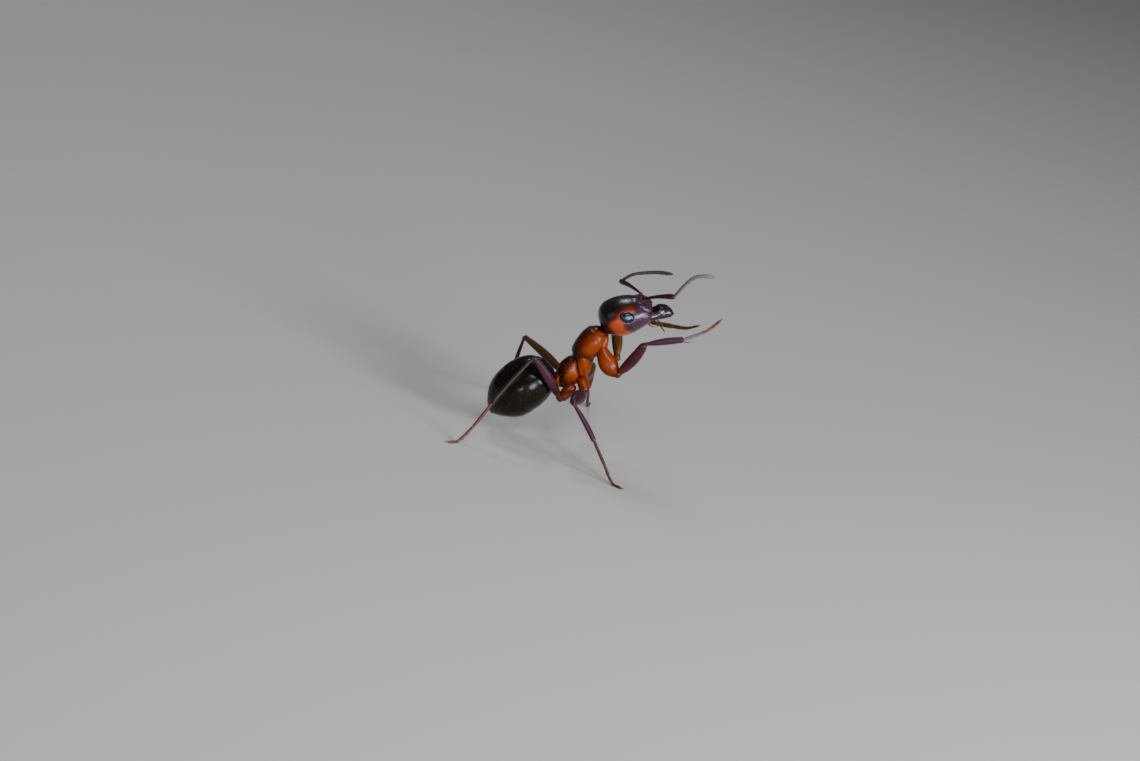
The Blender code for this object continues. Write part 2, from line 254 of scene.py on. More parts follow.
def loft(stations, ring_count, around, dome=(0.05, 0.05), square=2.0):
    """A closed shell along x, in millimetres. A station is x, half width, top, underside and,
    where its ring leans, the lean. Both ends are rounded over by the dome lengths. A square of 2
    gives round rings, and more gives boxier ones."""
    dome_rings = 6
    first, last = stations[0][0], stations[-1][0]
    turns = [math.pi / 2 * j / dome_rings for j in range(1, dome_rings)]
    rows = [(first - dome[0] * math.cos(turn), first, math.sin(turn)) for turn in turns]
    for k in range(ring_count):
        x = first + (last - first) * (1 - math.cos(math.pi * k / (ring_count - 1))) / 2
        rows.append((x, x, 1))
    rows += [(last + dome[1] * math.cos(turn), last, math.sin(turn)) for turn in reversed(turns)]
    form = bmesh.new()
    rings = []
    for x, at, share in rows:
        half_width, top, under, *lean = between(stations, at)
        middle, half_height = (top + under) / 2, (top - under) / 2
        ring = []
        for i in range(around):
            turn = math.tau * i / around
            c, s = math.cos(turn), math.sin(turn)
            y = share * half_width * math.copysign(abs(c) ** (2 / square), c)
            z = middle + share * half_height * math.copysign(abs(s) ** (2 / square), s)
            ring.append(form.verts.new((x + (lean[0] * z if lean else 0), y, z)))
        rings.append(ring)
    skin_over(form, rings)
    bmesh.ops.recalc_face_normals(form, faces=form.faces)
    return form


def emboss(form, relief):
    """Pushes each vertex out along its normal by what relief gives for its place."""
    form.normal_update()
    moves = [(vertex, vertex.normal * relief(*vertex.co)) for vertex in form.verts]
    for vertex, move in moves:
        vertex.co += move


def feed(group, socket, value):
    """Sets an input, or joins it to another node's socket."""
    if isinstance(value, bpy.types.NodeSocket):
        group.links.new(value, socket)
    else:
        socket.default_value = value


def node(group, kind, settings=(), **inputs):
    """Adds a node. An input is a value or another node's socket; _ stands for a space."""
    made = group.nodes.new(kind)
    for key, value in dict(settings).items():
        setattr(made, key, value)
    for key, value in inputs.items():
        feed(group, made.inputs[key.replace("_", " ")], value)
    return made


def output(group, kind, settings=(), which=0, **inputs):
    """Adds a node and gives the output that is wanted of it, the first if none is named."""
    return node(group, kind, settings, **inputs).outputs[which]


def maths(group, operation, *values):
    made = node(group, "ShaderNodeMath", {"operation": operation})
    for socket, value in zip(made.inputs, values):
        feed(group, socket, value)
    return made.outputs[0]


GLOW_TINT = (1.0, 0.35, 0.1)  # how far red, green and blue light travel under the shell
GLOW_DEPTH = 0.12
COAT_ROUGHNESS = 0.12
DOWN_ROUGHNESS = 0.35
DOWN_TINT = (0.72, 0.74, 1.0, 1)
CLOUD_SIZE, FLECK_SIZE = 1 / 2.2, 1 / 16  # of the tan's variation, in millimetres


def cuticle(
    name,
    shades,
    roughness=0.3,
    grain=0.012,
    relief=0.0003,
    clouding=0.25,
    coat=0.0,
    glow=0.0,
    down=0.0,
    level=0.3,
    shine=(1.0, 1.0, 1.0),
    tint=None,
    pitting=0.8,
):
    """Tanned, glossy insect shell. shades are colours from the palest to the darkest, blended by
    the piece's own "dark" attribute; grain is the size in millimetres of the leathery cells,
    relief their height, clouding how much the tan varies, and down the bloom of fine hair. shine
    colours what it reflects. tint is a colour that takes over in flecks where the piece's "tint"
    attribute says so, and pitting deepens the small pits."""
    made = bpy.data.materials.new(name)
    made.use_nodes = True
    tree = made.node_tree
    shader = tree.nodes["Principled BSDF"]
    place = output(tree, "ShaderNodeTexCoord", which="Object")
    dark = output(tree, "ShaderNodeAttribute", {"attribute_name": "dark"}, which="Fac")
    clouds, flecks = (
        output(tree, "ShaderNodeTexNoise", Vector=place, Scale=1 / (size * MM), Detail=detail)
        for size, detail in ((CLOUD_SIZE, 5.0), (FLECK_SIZE, 4.0))
    )
    drift = maths(tree, "MULTIPLY", maths(tree, "SUBTRACT", clouds, 0.5), clouding)
    fine_drift = maths(tree, "MULTIPLY", maths(tree, "SUBTRACT", flecks, 0.5), clouding * 0.5)
    tan = maths(tree, "ADD", maths(tree, "ADD", dark, drift), fine_drift)
    ramp = node(tree, "ShaderNodeValToRGB", Fac=tan)
    stops = ramp.color_ramp.elements
    while len(stops) < len(shades):
        stops.new(0.5)
    for k, shade in enumerate(shades):
        stops[k].position = k / (len(shades) - 1)
        stops[k].color = (*shade, 1)
    colour = ramp.outputs["Color"]
    if tint:
        share = output(tree, "ShaderNodeAttribute", {"attribute_name": "tint"}, which="Fac")
        patchy = output(
            tree, "ShaderNodeMapRange", Value=flecks, From_Min=0.36, From_Max=0.62, To_Min=0.35
        )
        share = maths(tree, "MULTIPLY", share, patchy)
        tinted = node(tree, "ShaderNodeMix", {"data_type": "RGBA"}, Factor=share)
        feed(tree, tinted.inputs[6], colour)
        feed(tree, tinted.inputs[7], (*tint, 1))
        colour = tinted.outputs[2]
    worn = node(tree, "ShaderNodeMapRange", Value=flecks, From_Min=0.3, From_Max=0.7)
    worn.inputs["To Min"].default_value = roughness * 0.8
    worn.inputs["To Max"].default_value = roughness * 1.25
    cells = output(
        tree,
        "ShaderNodeTexVoronoi",
        {"feature": "DISTANCE_TO_EDGE"},
        Vector=place,
        Scale=1 / (grain * MM),
    )
    edges = output(tree, "ShaderNodeMapRange", Value=cells, From_Max=0.25)
    height = maths(tree, "ADD", edges, maths(tree, "MULTIPLY", flecks, pitting))
    bump = output(tree, "ShaderNodeBump", Height=height, Strength=1.0, Distance=relief * MM)
    sockets = {
        "Base Color": colour,
        "Roughness": worn.outputs["Result"],
        "Normal": bump,
        "Specular IOR Level": level,
        "Specular Tint": (*shine, 1),
        "Coat Weight": coat,
        "Coat Roughness": COAT_ROUGHNESS,
        "Subsurface Weight": glow,
        "Subsurface Radius": GLOW_TINT,
        "Subsurface Scale": GLOW_DEPTH * MM,
        "Sheen Weight": down,
        "Sheen Roughness": DOWN_ROUGHNESS,
        "Sheen Tint": DOWN_TINT,
    }
    for label, value in sockets.items():
        feed(tree, shader.inputs[label], value)
    return made


SHARP_EDGE = math.radians(60)


def finish(name, form, material, place, nodes, dark=0.0, hairy=None, lie=None, tint=None):
    """Makes a piece of a form in millimetres: sets it in its place, shades it and rides it.
    dark is the tan, on some pieces with painted light and shade in it, tint a second colour's share
    and hairy where bristles grow, each a number or a function of the place in millimetres and the
    normal. lie is the way the bristles lean."""
    bmesh.ops.recalc_face_normals(form, faces=form.faces)
    form.normal_update()
    mesh = bpy.data.meshes.new(name)
    spots = [(vertex.co.copy(), vertex.normal.copy()) for vertex in form.verts]
    form.transform(place)
    form.to_mesh(mesh)
    form.free()
    for label, rule in (("dark", dark), ("hairy", hairy), ("tint", tint)):
        if rule is not None:
            values = [rule(*spot) if callable(rule) else rule for spot in spots]
            mesh.attributes.new(label, "FLOAT", "POINT").data.foreach_set("value", values)
    if lie is not None:
        way = place.to_3x3().normalized() @ Vector(lie)
        leans = mesh.attributes.new("lie", "FLOAT_VECTOR", "POINT")
        leans.data.foreach_set("vector", list(way) * len(spots))
    mesh.materials.append(material)
    mesh.shade_smooth()
    mesh.set_sharp_from_angle(angle=SHARP_EDGE)
    piece = bpy.data.objects.new(name, mesh)
    bpy.context.scene.collection.objects.link(piece)
    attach(piece, "root")
    if nodes:
        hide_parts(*nodes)


HEAD_PITCH = 19
HEAD_HALF_LENGTH, HEAD_HALF_WIDTH = 1.06, 1.01
EYE_SPOT = (0.03, 0.86, 0.22)  # on the left cheek, from the head's centre
EYE_HALF = (0.31, 0.17, 0.215)
EYE_TILT = 15  # degrees that the oval's front end is lower
ANTENNA_SPOT = (0.76, 0.30, 0.71)
eyes_middle = (box_middle("eye_left") + box_middle("eye_right")) / 2
head_centre = eyes_middle - seat(Vector(), HEAD_PITCH) @ Vector((EYE_SPOT[0], 0, EYE_SPOT[2]))
head_seat = seat(head_centre, HEAD_PITCH)

CHEEK_ORANGE = (0.285, 0.036, 0.001)
CHEEK_RUST = (0.12, 0.014, 0.001)
CHEEK_BROWN = (0.028, 0.005, 0.002)
FACE_PURPLE = (0.048, 0.016, 0.033)
CROWN_BLACK = (0.0055, 0.0032, 0.0032)
# seen from the side, the orange patch of the cheek lies inside this outline, corners cut round
CHEEK_OUTLINE = (
    (-0.40, -1.3),
    (-0.45, -0.62),
    (-0.62, -0.38),
    (-0.76, -0.10),
    (-0.66, 0.16),
    (-0.42, 0.28),
    (-0.20, 0.56),
    (0.06, 0.66),
    (0.36, 0.62),
    (0.46, 0.42),
    (0.20, 0.20),
    (-0.10, 0.0),
    (0.01, -0.24),
    (0.24, -0.42),
    (0.24, -1.3),
)
# and the purple of the face inside this one
FACE_OUTLINE = (
    (0.42, 1.2),
    (0.44, 0.55),
    (0.30, 0.20),
    (-0.16, 0.0),
    (-0.06, -0.30),
    (0.16, -0.48),
    (0.16, -1.3),
    (2.0, -1.3),
    (2.0, 1.2),
)


def rounded(outline, passes=2):
    """The outline as a ring of places, its corners cut again and again until it runs smoothly."""
    for _ in range(passes):
        sides = list(zip(outline, outline[1:] + outline[:1]))
        outline = tuple(
            (a[0] + (b[0] - a[0]) * share, a[1] + (b[1] - a[1]) * share)
            for a, b in sides
            for share in (0.25, 0.75)
        )
    return outline


def depth_inside(x, z, outline):
    """How deep the point lies inside a closed outline, and below 0 where it lies outside."""
    inside = False
    for (ax, az), (bx, bz) in zip(outline, outline[1:] + outline[:1]):
        if (az > z) != (bz > z) and x < ax + (bx - ax) * (z - az) / (bz - az):
            inside = not inside
    distance = to_line(x, z, outline + outline[:1])
    return distance if inside else -distance


def around_eye(x, z):
    """How far out a place on the cheek lies from the eye's middle: 1 at the eye's own edge."""
    turn = math.radians(EYE_TILT)
    ahead, above = x - EYE_SPOT[0], z - EYE_SPOT[2]
    along = (ahead * math.cos(turn) - above * math.sin(turn)) / EYE_HALF[0]
    across = (ahead * math.sin(turn) + above * math.cos(turn)) / EYE_HALF[2]
    return math.hypot(along, across)


def head_relief(x, y, z):
    across = abs(y)
    out = around_eye(x, z)
    rim = 0.003 * swell(out - 1.09, 0.08) - 0.05 * (1 - rise(out, 0.80, 1.0))
    rim *= rise(across, 0.45, 0.7)
    # the shield's side edge runs down from the antenna's pit to the jaw's hinge
    over = z - 0.54 + 0.82 * (x - 0.574)
    shield = rise(over, -0.01, 0.08) * rise(x, 0.56, 0.70)
    side_edge = swell(over + 0.02, 0.022) * rise(x, 0.54, 0.64)
    lobe = rise(x, 0.40, 0.68) * (1 - rise(across, 0.20, 0.42)) * rise(z, 0.25, 0.4)
    ridge = swell(across - 0.21 - 0.10 * (x - 0.5), 0.03) * rise(x, 0.30, 0.5) * rise(z, 0.3, 0.5)
    ridge *= 1 - rise(x, 0.76, 0.84)
    brow = swell(x - 0.45, 0.035) * rise(across, 0.2, 0.3) * (1 - rise(across, 0.55, 0.68))
    brow *= rise(z, 0.40, 0.50)
    pit = swell(math.hypot(x - 0.74, across - 0.36), 0.085) * rise(z, 0.3, 0.45)
    suture = swell(x - 0.84 - 0.10 * across, 0.016) * (1 - rise(across, 0.26, 0.36))
    suture *= rise(z, 0.3, 0.45)
    keel = swell(across, 0.06) * rise(x, 0.84, 0.92) * rise(z, 0.15, 0.3)
    part = swell(across, 0.012) * rise(x, -0.05, 0.05) * (1 - rise(x, 0.66, 0.74)) * rise(z, 0, 0.3)
    return (
        rim
        + 0.035 * shield
        - 0.022 * side_edge
        + 0.070 * lobe
        + 0.022 * ridge
        + 0.012 * brow
        - 0.045 * pit
        - 0.015 * suture
        + 0.016 * keel
        - 0.006 * part
    )


cheek_patch = rounded(CHEEK_OUTLINE)
face_patch = rounded(FACE_OUTLINE)


def below_jaw(x, z, start, end):
    """How far a place lies below the line of the jaw, where the shell turns brown again."""
    return rise(0.385 * x - 0.47 - z, start, end) * rise(x, 0.0, 0.2)


def head_dark(spot, normal):
    x, y, z = spot
    orange = rise(depth_inside(x, z, cheek_patch), -0.14, 0.18)
    above = 0.30 * rise(z, 0.36, 0.50)
    return (1 - orange) * (1 - 0.62 * below_jaw(x, z, -0.02, 0.10)) + above * orange


def head_tint(spot, normal):
    x, y, z = spot
    front = rise(depth_inside(x, z, face_patch), -0.06, 0.24)
    return front * (1 - 0.85 * below_jaw(x, z, -0.04, 0.08))


head_form = loft(
    [
        (-HEAD_HALF_LENGTH, 0.02, 0.08, 0.05),
        (-1.057, 0.10, 0.13, 0.0),
        (-1.042, 0.23, 0.22, -0.10),
        (-1.005, 0.43, 0.355, -0.25),
        (-0.93, 0.62, 0.475, -0.40),
        (-0.742, 0.86, 0.63, -0.61),
        (-0.265, HEAD_HALF_WIDTH, 0.78, -0.76),
        (0.212, 0.97, 0.79, -0.70),
        (0.636, 0.81, 0.69, -0.52),
        (0.90, 0.66, 0.57, -0.38),
        (1.02, 0.54, 0.43, -0.28),
        (HEAD_HALF_LENGTH, 0.42, 0.30, -0.20),
    ],
    ring_count=190,
    around=220,
    dome=(0.001, 0.03),
)
emboss(head_form, head_relief)
head_finish = cuticle(
    "head_cuticle",
    (CHEEK_ORANGE, CHEEK_RUST, CHEEK_BROWN, CROWN_BLACK),
    roughness=0.27,
    coat=0.08,
    glow=0.05,
    level=0.41,
    shine=(0.86, 0.86, 1.0),
    tint=FACE_PURPLE,
    pitting=7.0,
)
finish(
    "head_capsule",
    head_form,
    head_finish,
    head_seat,
    ["head"],
    dark=head_dark,
    tint=head_tint,
    hairy=lambda spot, normal: rise(spot.z, 0.1, 0.5) * 0.8 + 0.2,
    lie=(1, 0, 0),
)


# ------------------------------------------------------------ eyes
# Each compound eye is an oval dome of some hundreds of small lenses, set in a rim on the cheek.
# The lenses are clear, hard and blue-black, and three single lenses sit on the crown.

SIDES = ((1, "left"), (-1, "right"))
EYE_BLACK = (0.003, 0.004, 0.008)
EYE_UP, EYE_FORWARD = 12, 6  # degrees that the eye looks up and forward of straight out
EYE_FLATNESS = 3.4  # 2 is a ball, more is flatter in the middle and rounder at the rim
LENS_WIDTH = 0.034
LENS_BULGE = 0.0006


def group_of(name, **inputs):
    """A geometry tree with a geometry socket at each end and the named inputs between them."""
    group = bpy.data.node_groups.new(name, "GeometryNodeTree")
    group.interface.new_socket("Geometry", in_out="INPUT", socket_type="NodeSocketGeometry")
    for label, kind in inputs.items():
        group.interface.new_socket(
            label.replace("_", " "), in_out="INPUT", socket_type="NodeSocket" + kind
        )
    group.interface.new_socket("Geometry", in_out="OUTPUT", socket_type="NodeSocketGeometry")
    return group, group.nodes.new("NodeGroupInput"), group.nodes.new("NodeGroupOutput")


def grown(name, mesh, group, **values):
    """Runs a geometry tree on a mesh, with its inputs set, and keeps the result as a plain mesh."""
    seed = bpy.data.objects.new(name + "_seed", mesh)
    bpy.context.scene.collection.objects.link(seed)
    modifier = seed.modifiers.new("grow", "NODES")
    modifier.node_group = group
    for item in group.interface.items_tree:
        key = item.name.replace(" ", "_")
        if item.in_out == "INPUT" and key in values:
            modifier[item.identifier] = values[key]
    graph = bpy.context.evaluated_depsgraph_get()
    plain = bpy.data.meshes.new_from_object(seed.evaluated_get(graph), depsgraph=graph)
    seed.modifiers.clear()
    bpy.data.objects.remove(seed, do_unlink=True)
    plain.name = name
    piece = bpy.data.objects.new(name, plain)
    bpy.context.scene.collection.objects.link(piece)
    return piece


def close(group, start, end, geometry):
    """Ends a tree: its geometry made smooth, real, and of the material given as Finish."""
    smooth = output(group, "GeometryNodeSetShadeSmooth", Geometry=geometry)
    real = output(group, "GeometryNodeRealizeInstances", Geometry=smooth)
    material = start.outputs["Finish"]
    painted = output(group, "GeometryNodeSetMaterial", Geometry=real, Material=material)
    feed(group, end.inputs["Geometry"], painted)
    return group


def lens_tree():
    """Sets a flattened ball at every point of a dome, facing the way the dome does there."""
    group, start, end = group_of(
        "lens_dome", Lens_Width="Float", Lens_Bulge="Float", Finish="Material"
    )
    dome, width = start.outputs["Geometry"], start.outputs["Lens Width"]
    height = maths(group, "MULTIPLY", start.outputs["Lens Bulge"], 2.0)
    normal = output(group, "GeometryNodeInputNormal")
    spread = output(
        group,
        "GeometryNodeInstanceOnPoints",
        Points=dome,
        Instance=output(group, "GeometryNodeMeshUVSphere", Segments=9, Rings=4, Radius=0.5),
        Rotation=output(group, "FunctionNodeAlignRotationToVector", {"axis": "Z"}, Vector=normal),
        Scale=output(group, "ShaderNodeCombineXYZ", X=width, Y=width, Z=height),
    )
    both = group.nodes.new("GeometryNodeJoinGeometry")
    for part in (dome, spread):
        feed(group, both.inputs["Geometry"], part)
    return close(group, start, end, both.outputs["Geometry"])


eye_finish = cuticle(
    "eye_lenses",
    (EYE_BLACK, EYE_BLACK),
    roughness=0.20,
    grain=0.3,
    relief=0.0,
    clouding=0.0,
    level=1.0,
    shine=(0.50, 0.68, 1.0),
)
lens_dome = lens_tree()
for side, word in SIDES:
    eye_form = bmesh.new()
    bmesh.ops.create_icosphere(eye_form, subdivisions=4, radius=1)
    for vertex in eye_form.verts:
        out = min(math.hypot(vertex.co.x, vertex.co.z), 1)
        vertex.co.y = math.copysign(math.sqrt(1 - out**EYE_FLATNESS), vertex.co.y)
    bmesh.ops.scale(eye_form, vec=EYE_HALF, verts=eye_form.verts)
    eye_form.transform(Matrix.Rotation(math.radians(EYE_TILT), 4, "Y"))
    eye_form.transform(Matrix.Rotation(side * math.radians(EYE_UP), 4, "X"))
    eye_form.transform(Matrix.Rotation(-side * math.radians(EYE_FORWARD), 4, "Z"))
    bmesh.ops.translate(
        eye_form, vec=(EYE_SPOT[0], side * EYE_SPOT[1], EYE_SPOT[2]), verts=eye_form.verts
    )
    eye_form.transform(head_seat)
    eye_mesh = bpy.data.meshes.new("eye")
    eye_form.to_mesh(eye_mesh)
    eye_form.free()
    eye = grown(
        "compound_eye_" + word,
        eye_mesh,
        lens_dome,
        Lens_Width=LENS_WIDTH * MM,
        Lens_Bulge=LENS_BULGE * MM,
        Finish=eye_finish,
    )
    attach(eye, "root")
    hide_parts("eye_" + word)


def add_ball(form, centre, half, segments=20, rings=12):
    """Adds a closed ball with those half sizes to the form. Its faces are made in a fixed order,
    so that the bristles that grow by them fall alike each time."""
    centre, half = Vector(centre), Vector(half)
    top, bottom = (form.verts.new(centre + half * Vector((0, 0, end))) for end in (1, -1))
    rows = []
    for k in range(1, rings):
        height, out = math.cos(math.pi * k / rings), math.sin(math.pi * k / rings)
        turns = [math.tau * i / segments for i in range(segments)]
        spots = [Vector((out * math.cos(turn), out * math.sin(turn), height)) for turn in turns]
        rows.append([form.verts.new(centre + half * spot) for spot in spots])
    for i in range(segments):
        j = (i + 1) % segments
        form.faces.new((top, rows[0][i], rows[0][j]))
        form.faces.new((bottom, rows[-1][j], rows[-1][i]))
        for upper, lower in zip(rows, rows[1:]):
            form.faces.new((upper[i], lower[i], lower[j], upper[j]))


OCELLI = ((0.02, 0.0), (-0.14, 0.13), (-0.14, -0.13))
OCELLUS_HALF = (0.036, 0.036, 0.026)
OCELLUS_AMBER = (0.05, 0.020, 0.006)
OCELLUS_DARK = (0.02, 0.01, 0.01)
CROWN_HEIGHT, CROWN_FALL = 0.785, 0.35
ocelli_form = bmesh.new()
for x, y in OCELLI:
    add_ball(ocelli_form, (x, y, CROWN_HEIGHT - CROWN_FALL * y * y), OCELLUS_HALF)
ocelli_finish = cuticle(
    "ocelli_lens", (OCELLUS_AMBER, OCELLUS_DARK), roughness=0.12, relief=0.0, coat=0.3
)
finish("ocelli", ocelli_form, ocelli_finish, head_seat, [])


# ------------------------------------------------------------ jaws
# Each mandible is a hard, hollow wedge hinged at the corner of the mouth: a narrow root, a broad
# curved blade, and a row of teeth along its front edge. It is purple-black and polished.


def sweep(form, route, sizes, rings=40, around=28, side=None):
    """Adds a closed tube along a route to the form, in millimetres. route gives a place for each
    share of its length; a size is the share, half depth and half width. side points across the
    tube's width."""
    shares = [0.5 - 0.5 * math.cos(math.pi * k / (rings - 1)) for k in range(rings)]
    loops, across = [], side
    for share in shares:
        step = 0.004
        ahead = (route(min(share + step, 1)) - route(max(share - step, 0))).normalized()
        across = across or ahead.orthogonal()
        across = (across - ahead * across.dot(ahead)).normalized()
        above = ahead.cross(across)
        depth, width = between(sizes, share)
        ring = []
        for i in range(around):
            turn = math.tau * i / around
            spot = route(share) + across * width * math.cos(turn) + above * depth * math.sin(turn)
            ring.append(form.verts.new(spot))
        loops.append(ring)
    skin_over(form, loops)


def curve_through(corners):
    """A smooth curve through the corners, as a function of the share of its length."""
    corners = [Vector(corner) for corner in corners]
    lengths = [(b - a).length for a, b in zip(corners, corners[1:])]
    whole = sum(lengths)
    marks = [sum(lengths[:k]) / whole for k in range(len(corners))]
    stations = [(mark, *corner) for mark, corner in zip(marks, corners)]
    return lambda share: Vector(between(stations, share))


def straight(start, end, bow):
    """A line from start to end that bows out by that much in the middle."""
    return lambda share: start.lerp(end, share) + bow * 4 * share * (1 - share)


SPIKE_TAPER = ((0, 1), (0.6, 0.62), (1, 0.10))


def add_spike(form, root, tip, radius, bend=(0, 0, 0), around=8, rings=6):
    """Adds a tapered, slightly curved spike, such as a tooth, a claw or a spur."""
    sizes = [(share, radius * thin, radius * thin) for share, thin in SPIKE_TAPER]
    sweep(form, straight(Vector(root), Vector(tip), Vector(bend)), sizes, rings, around)


JAW_BLACK = (0.010, 0.004, 0.010)
JAW_MAROON = (0.040, 0.006, 0.010)
JAW_ROUTE = (
    (0.88, 0.38, -0.02),
    (1.10, 0.37, -0.05),
    (1.30, 0.32, -0.02),
    (1.48, 0.25, 0.01),
    (1.66, 0.17, -0.02),
    (1.80, 0.11, -0.09),
    (1.91, 0.06, -0.15),
)
# share of the length, half depth and half thickness
JAW_SIZES = (
    (0, 0.18, 0.14),
    (0.16, 0.165, 0.13),
    (0.32, 0.17, 0.13),
    (0.52, 0.235, 0.13),
    (0.68, 0.235, 0.10),
    (0.85, 0.180, 0.075),
    (0.95, 0.115, 0.05),
    (1, 0.05, 0.03),
)
TEETH = 7
TOOTH_ROW = ((1.62, 0.17, 0.17), (1.92, 0.06, -0.10))
jaw_finish = cuticle(
    "jaw_cuticle", (JAW_MAROON, JAW_BLACK), roughness=0.20, clouding=0.2, coat=0.15, level=0.4
)
for side, word in SIDES:
    jaw_form = bmesh.new()
    flip = Vector((1, side, 1))
    route = curve_through([Vector(corner) * flip for corner in JAW_ROUTE])
    sweep(jaw_form, route, JAW_SIZES, rings=48, around=36, side=Vector((0, 1, 0)))
    for k in range(TEETH):
        share = k / (TEETH - 1)
        place = Vector(TOOTH_ROW[0]).lerp(Vector(TOOTH_ROW[1]), share)
        root = (place - Vector((0.03, 0, 0.03))) * flip
        length = 0.060 + 0.04 * share**3
        tip = root + Vector((0.82, -0.45 * side, 0.30 - 0.35 * share)).normalized() * length
        add_spike(jaw_form, root, tip, 0.026, rings=7, around=10)
    finish(
        "mandible_" + word + "_blade",
        jaw_form,
        jaw_finish,
        head_seat,
        ["mandible_" + word],
        dark=lambda spot, normal: 0.25 + 0.75 * rise(spot.x, 1.0, 1.45),
        hairy=0.5,
        lie=(1, 0, -0.3),
    )


# ------------------------------------------------------------ mouthparts and palps
# Under the jaws lies the soft folded lower lip. Two pairs of thin jointed feelers hang from it:
# the long maxillary palps of six joints and the short labial palps of four, all orange.

LIP_TAN = (0.115, 0.022, 0.002)
LIP_BROWN = (0.030, 0.010, 0.003)
lip_finish = cuticle("lip_cuticle", (LIP_TAN, LIP_BROWN), roughness=0.42, glow=0.1)
lip_form = loft(
    [
        (0.42, 0.16, -0.36, -0.54),
        (0.66, 0.25, -0.26, -0.53),
        (0.90, 0.25, -0.14, -0.42),
        (1.04, 0.20, -0.10, -0.33),
        (1.12, 0.11, -0.14, -0.27),
    ],
    ring_count=40,
    around=48,
    dome=(0.04, 0.05),
)
emboss(
    lip_form,
    lambda x, y, z: -0.02 * swell(y, 0.02) - 0.018 * swell(abs(y) - 0.12, 0.02) * rise(x, 0.5, 0.6),
)
finish("lower_lip", lip_form, lip_finish, head_seat, [], dark=0.35)


def named(group, label, kind="FLOAT"):
    """What the geometry carries under that name."""
    return output(group, "GeometryNodeInputNamedAttribute", {"data_type": kind}, Name=label)


def stored(group, geometry, label, value, kind="FLOAT", domain="POINT"):
    """The geometry with a value stored on it under that name."""
    settings = {"data_type": kind, "domain": domain}
    return output(
        group,
        "GeometryNodeStoreNamedAttribute",
        settings,
        Geometry=geometry,
        Name=label,
        Value=value,
    )


JOINT_OUTLINE = ((0.10, 0.66), (0.40, 0.86), (0.78, 1.0), (0.92, 0.90))
JOINT_ENDS = (0.15, 0.30)
RING_STEP = 0.009 * MM
ROUTE_STEPS = 140


def joint_tree():
    """Wraps a line in a tube that swells and narrows once for each joint. The line's own "joint"
    attribute counts the joints along it and "thick" is its half thickness."""
    group, start, end = group_of(
        "jointed_tube", Ring_Step="Float", Waist="Float", Sides="Int", Finish="Material"
    )
    line = output(group, "GeometryNodeMeshToCurve", Mesh=start.outputs["Geometry"])
    even = output(
        group,
        "GeometryNodeResampleCurve",
        {"mode": "LENGTH"},
        Curve=line,
        Length=start.outputs["Ring Step"],
    )
    share = maths(group, "FRACT", named(group, "joint"))
    form = node(group, "ShaderNodeFloatCurve", Value=share)
    points = form.mapping.curves[0].points
    for x, y in JOINT_OUTLINE:
        points.new(x, y)
    points[0].location = (0, JOINT_ENDS[0])
    points[-1].location = (1, JOINT_ENDS[1])
    form.mapping.update()
    hollow = maths(group, "SUBTRACT", 1.0, form.outputs["Value"])
    full = maths(group, "SUBTRACT", 1.0, maths(group, "MULTIPLY", hollow, start.outputs["Waist"]))
    radius = maths(group, "MULTIPLY", full, named(group, "thick"))
    along = node(group, "GeometryNodeSplineParameter").outputs["Factor"]
    circle = node(group, "GeometryNodeCurvePrimitiveCircle", Radius=1.0)
    feed(group, circle.inputs["Resolution"], start.outputs["Sides"])
    tube = output(
        group,
        "GeometryNodeCurveToMesh",
        Curve=stored(group, even, "unwrap_v", along),
        Profile_Curve=stored(group, circle.outputs["Curve"], "unwrap_u", along),
        Scale=radius,
        Fill_Caps=True,
    )
    u, v = named(group, "unwrap_u"), named(group, "unwrap_v")
    spot = output(group, "ShaderNodeCombineXYZ", X=u, Y=v)
    return close(group, start, end, stored(group, tube, "unwrap", spot, "FLOAT2", "CORNER"))


jointed_tube = joint_tree()


def jointed(name, route, marks, thickness, material, nodes, dark, waist=1.0, sides=14):
    """A piece of several joints along a route in metres. marks are the shares of its length at
    which joints begin, thickness its half thickness in millimetres by share, and dark its tan by
    share, with painted light in it on the whips and the near fore foot."""
    shares = [k / ROUTE_STEPS for k in range(ROUTE_STEPS + 1)]
    spots = [route(share) for share in shares]
    mesh = bpy.data.meshes.new(name)
    mesh.from_pydata(spots, [(k, k + 1) for k in range(ROUTE_STEPS)], [])
    counts = []
    for share in shares:
        k = max(k for k in range(len(marks) - 1) if marks[k] <= share)
        counts.append(k + min((share - marks[k]) / (marks[k + 1] - marks[k]), 0.999))
    columns = {
        "joint": counts,
        "thick": [between(thickness, share)[0] * MM for share in shares],
        "dark": [dark(share) for share in shares],
        "hairy": [1.0] * len(shares),
    }
    for label, values in columns.items():
        mesh.attributes.new(label, "FLOAT", "POINT").data.foreach_set("value", values)
    leans = mesh.attributes.new("lie", "FLOAT_VECTOR", "POINT")
    for k, value in enumerate(leans.data):
        value.vector = (spots[min(k + 1, ROUTE_STEPS)] - spots[max(k - 1, 0)]).normalized()
    piece = grown(
        name, mesh, jointed_tube, Ring_Step=RING_STEP, Waist=waist, Sides=sides, Finish=material
    )
    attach(piece, "root")
    if nodes:
        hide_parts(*nodes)


def even_marks(joints, first=0.0):
    """Shares at which equal joints begin, after a first one of that share if it is given."""
    if not first:
        return [k / joints for k in range(joints + 1)]
    return [0.0] + [first + (1 - first) * k / (joints - 1) for k in range(joints)]


MAXILLARY_ROUTE = (
    (1.00, 0.15, -0.26),
    (1.14, 0.24, -0.28),
    (1.28, 0.30, -0.42),
    (1.42, 0.32, -0.60),
    (1.50, 0.33, -0.76),
)
LABIAL_ROUTE = ((1.06, 0.05, -0.22), (1.16, 0.07, -0.33), (1.22, 0.08, -0.47), (1.24, 0.09, -0.60))
PALP_TAPER = ((0, 1), (0.6, 0.8), (0.95, 0.6), (1, 0.2))
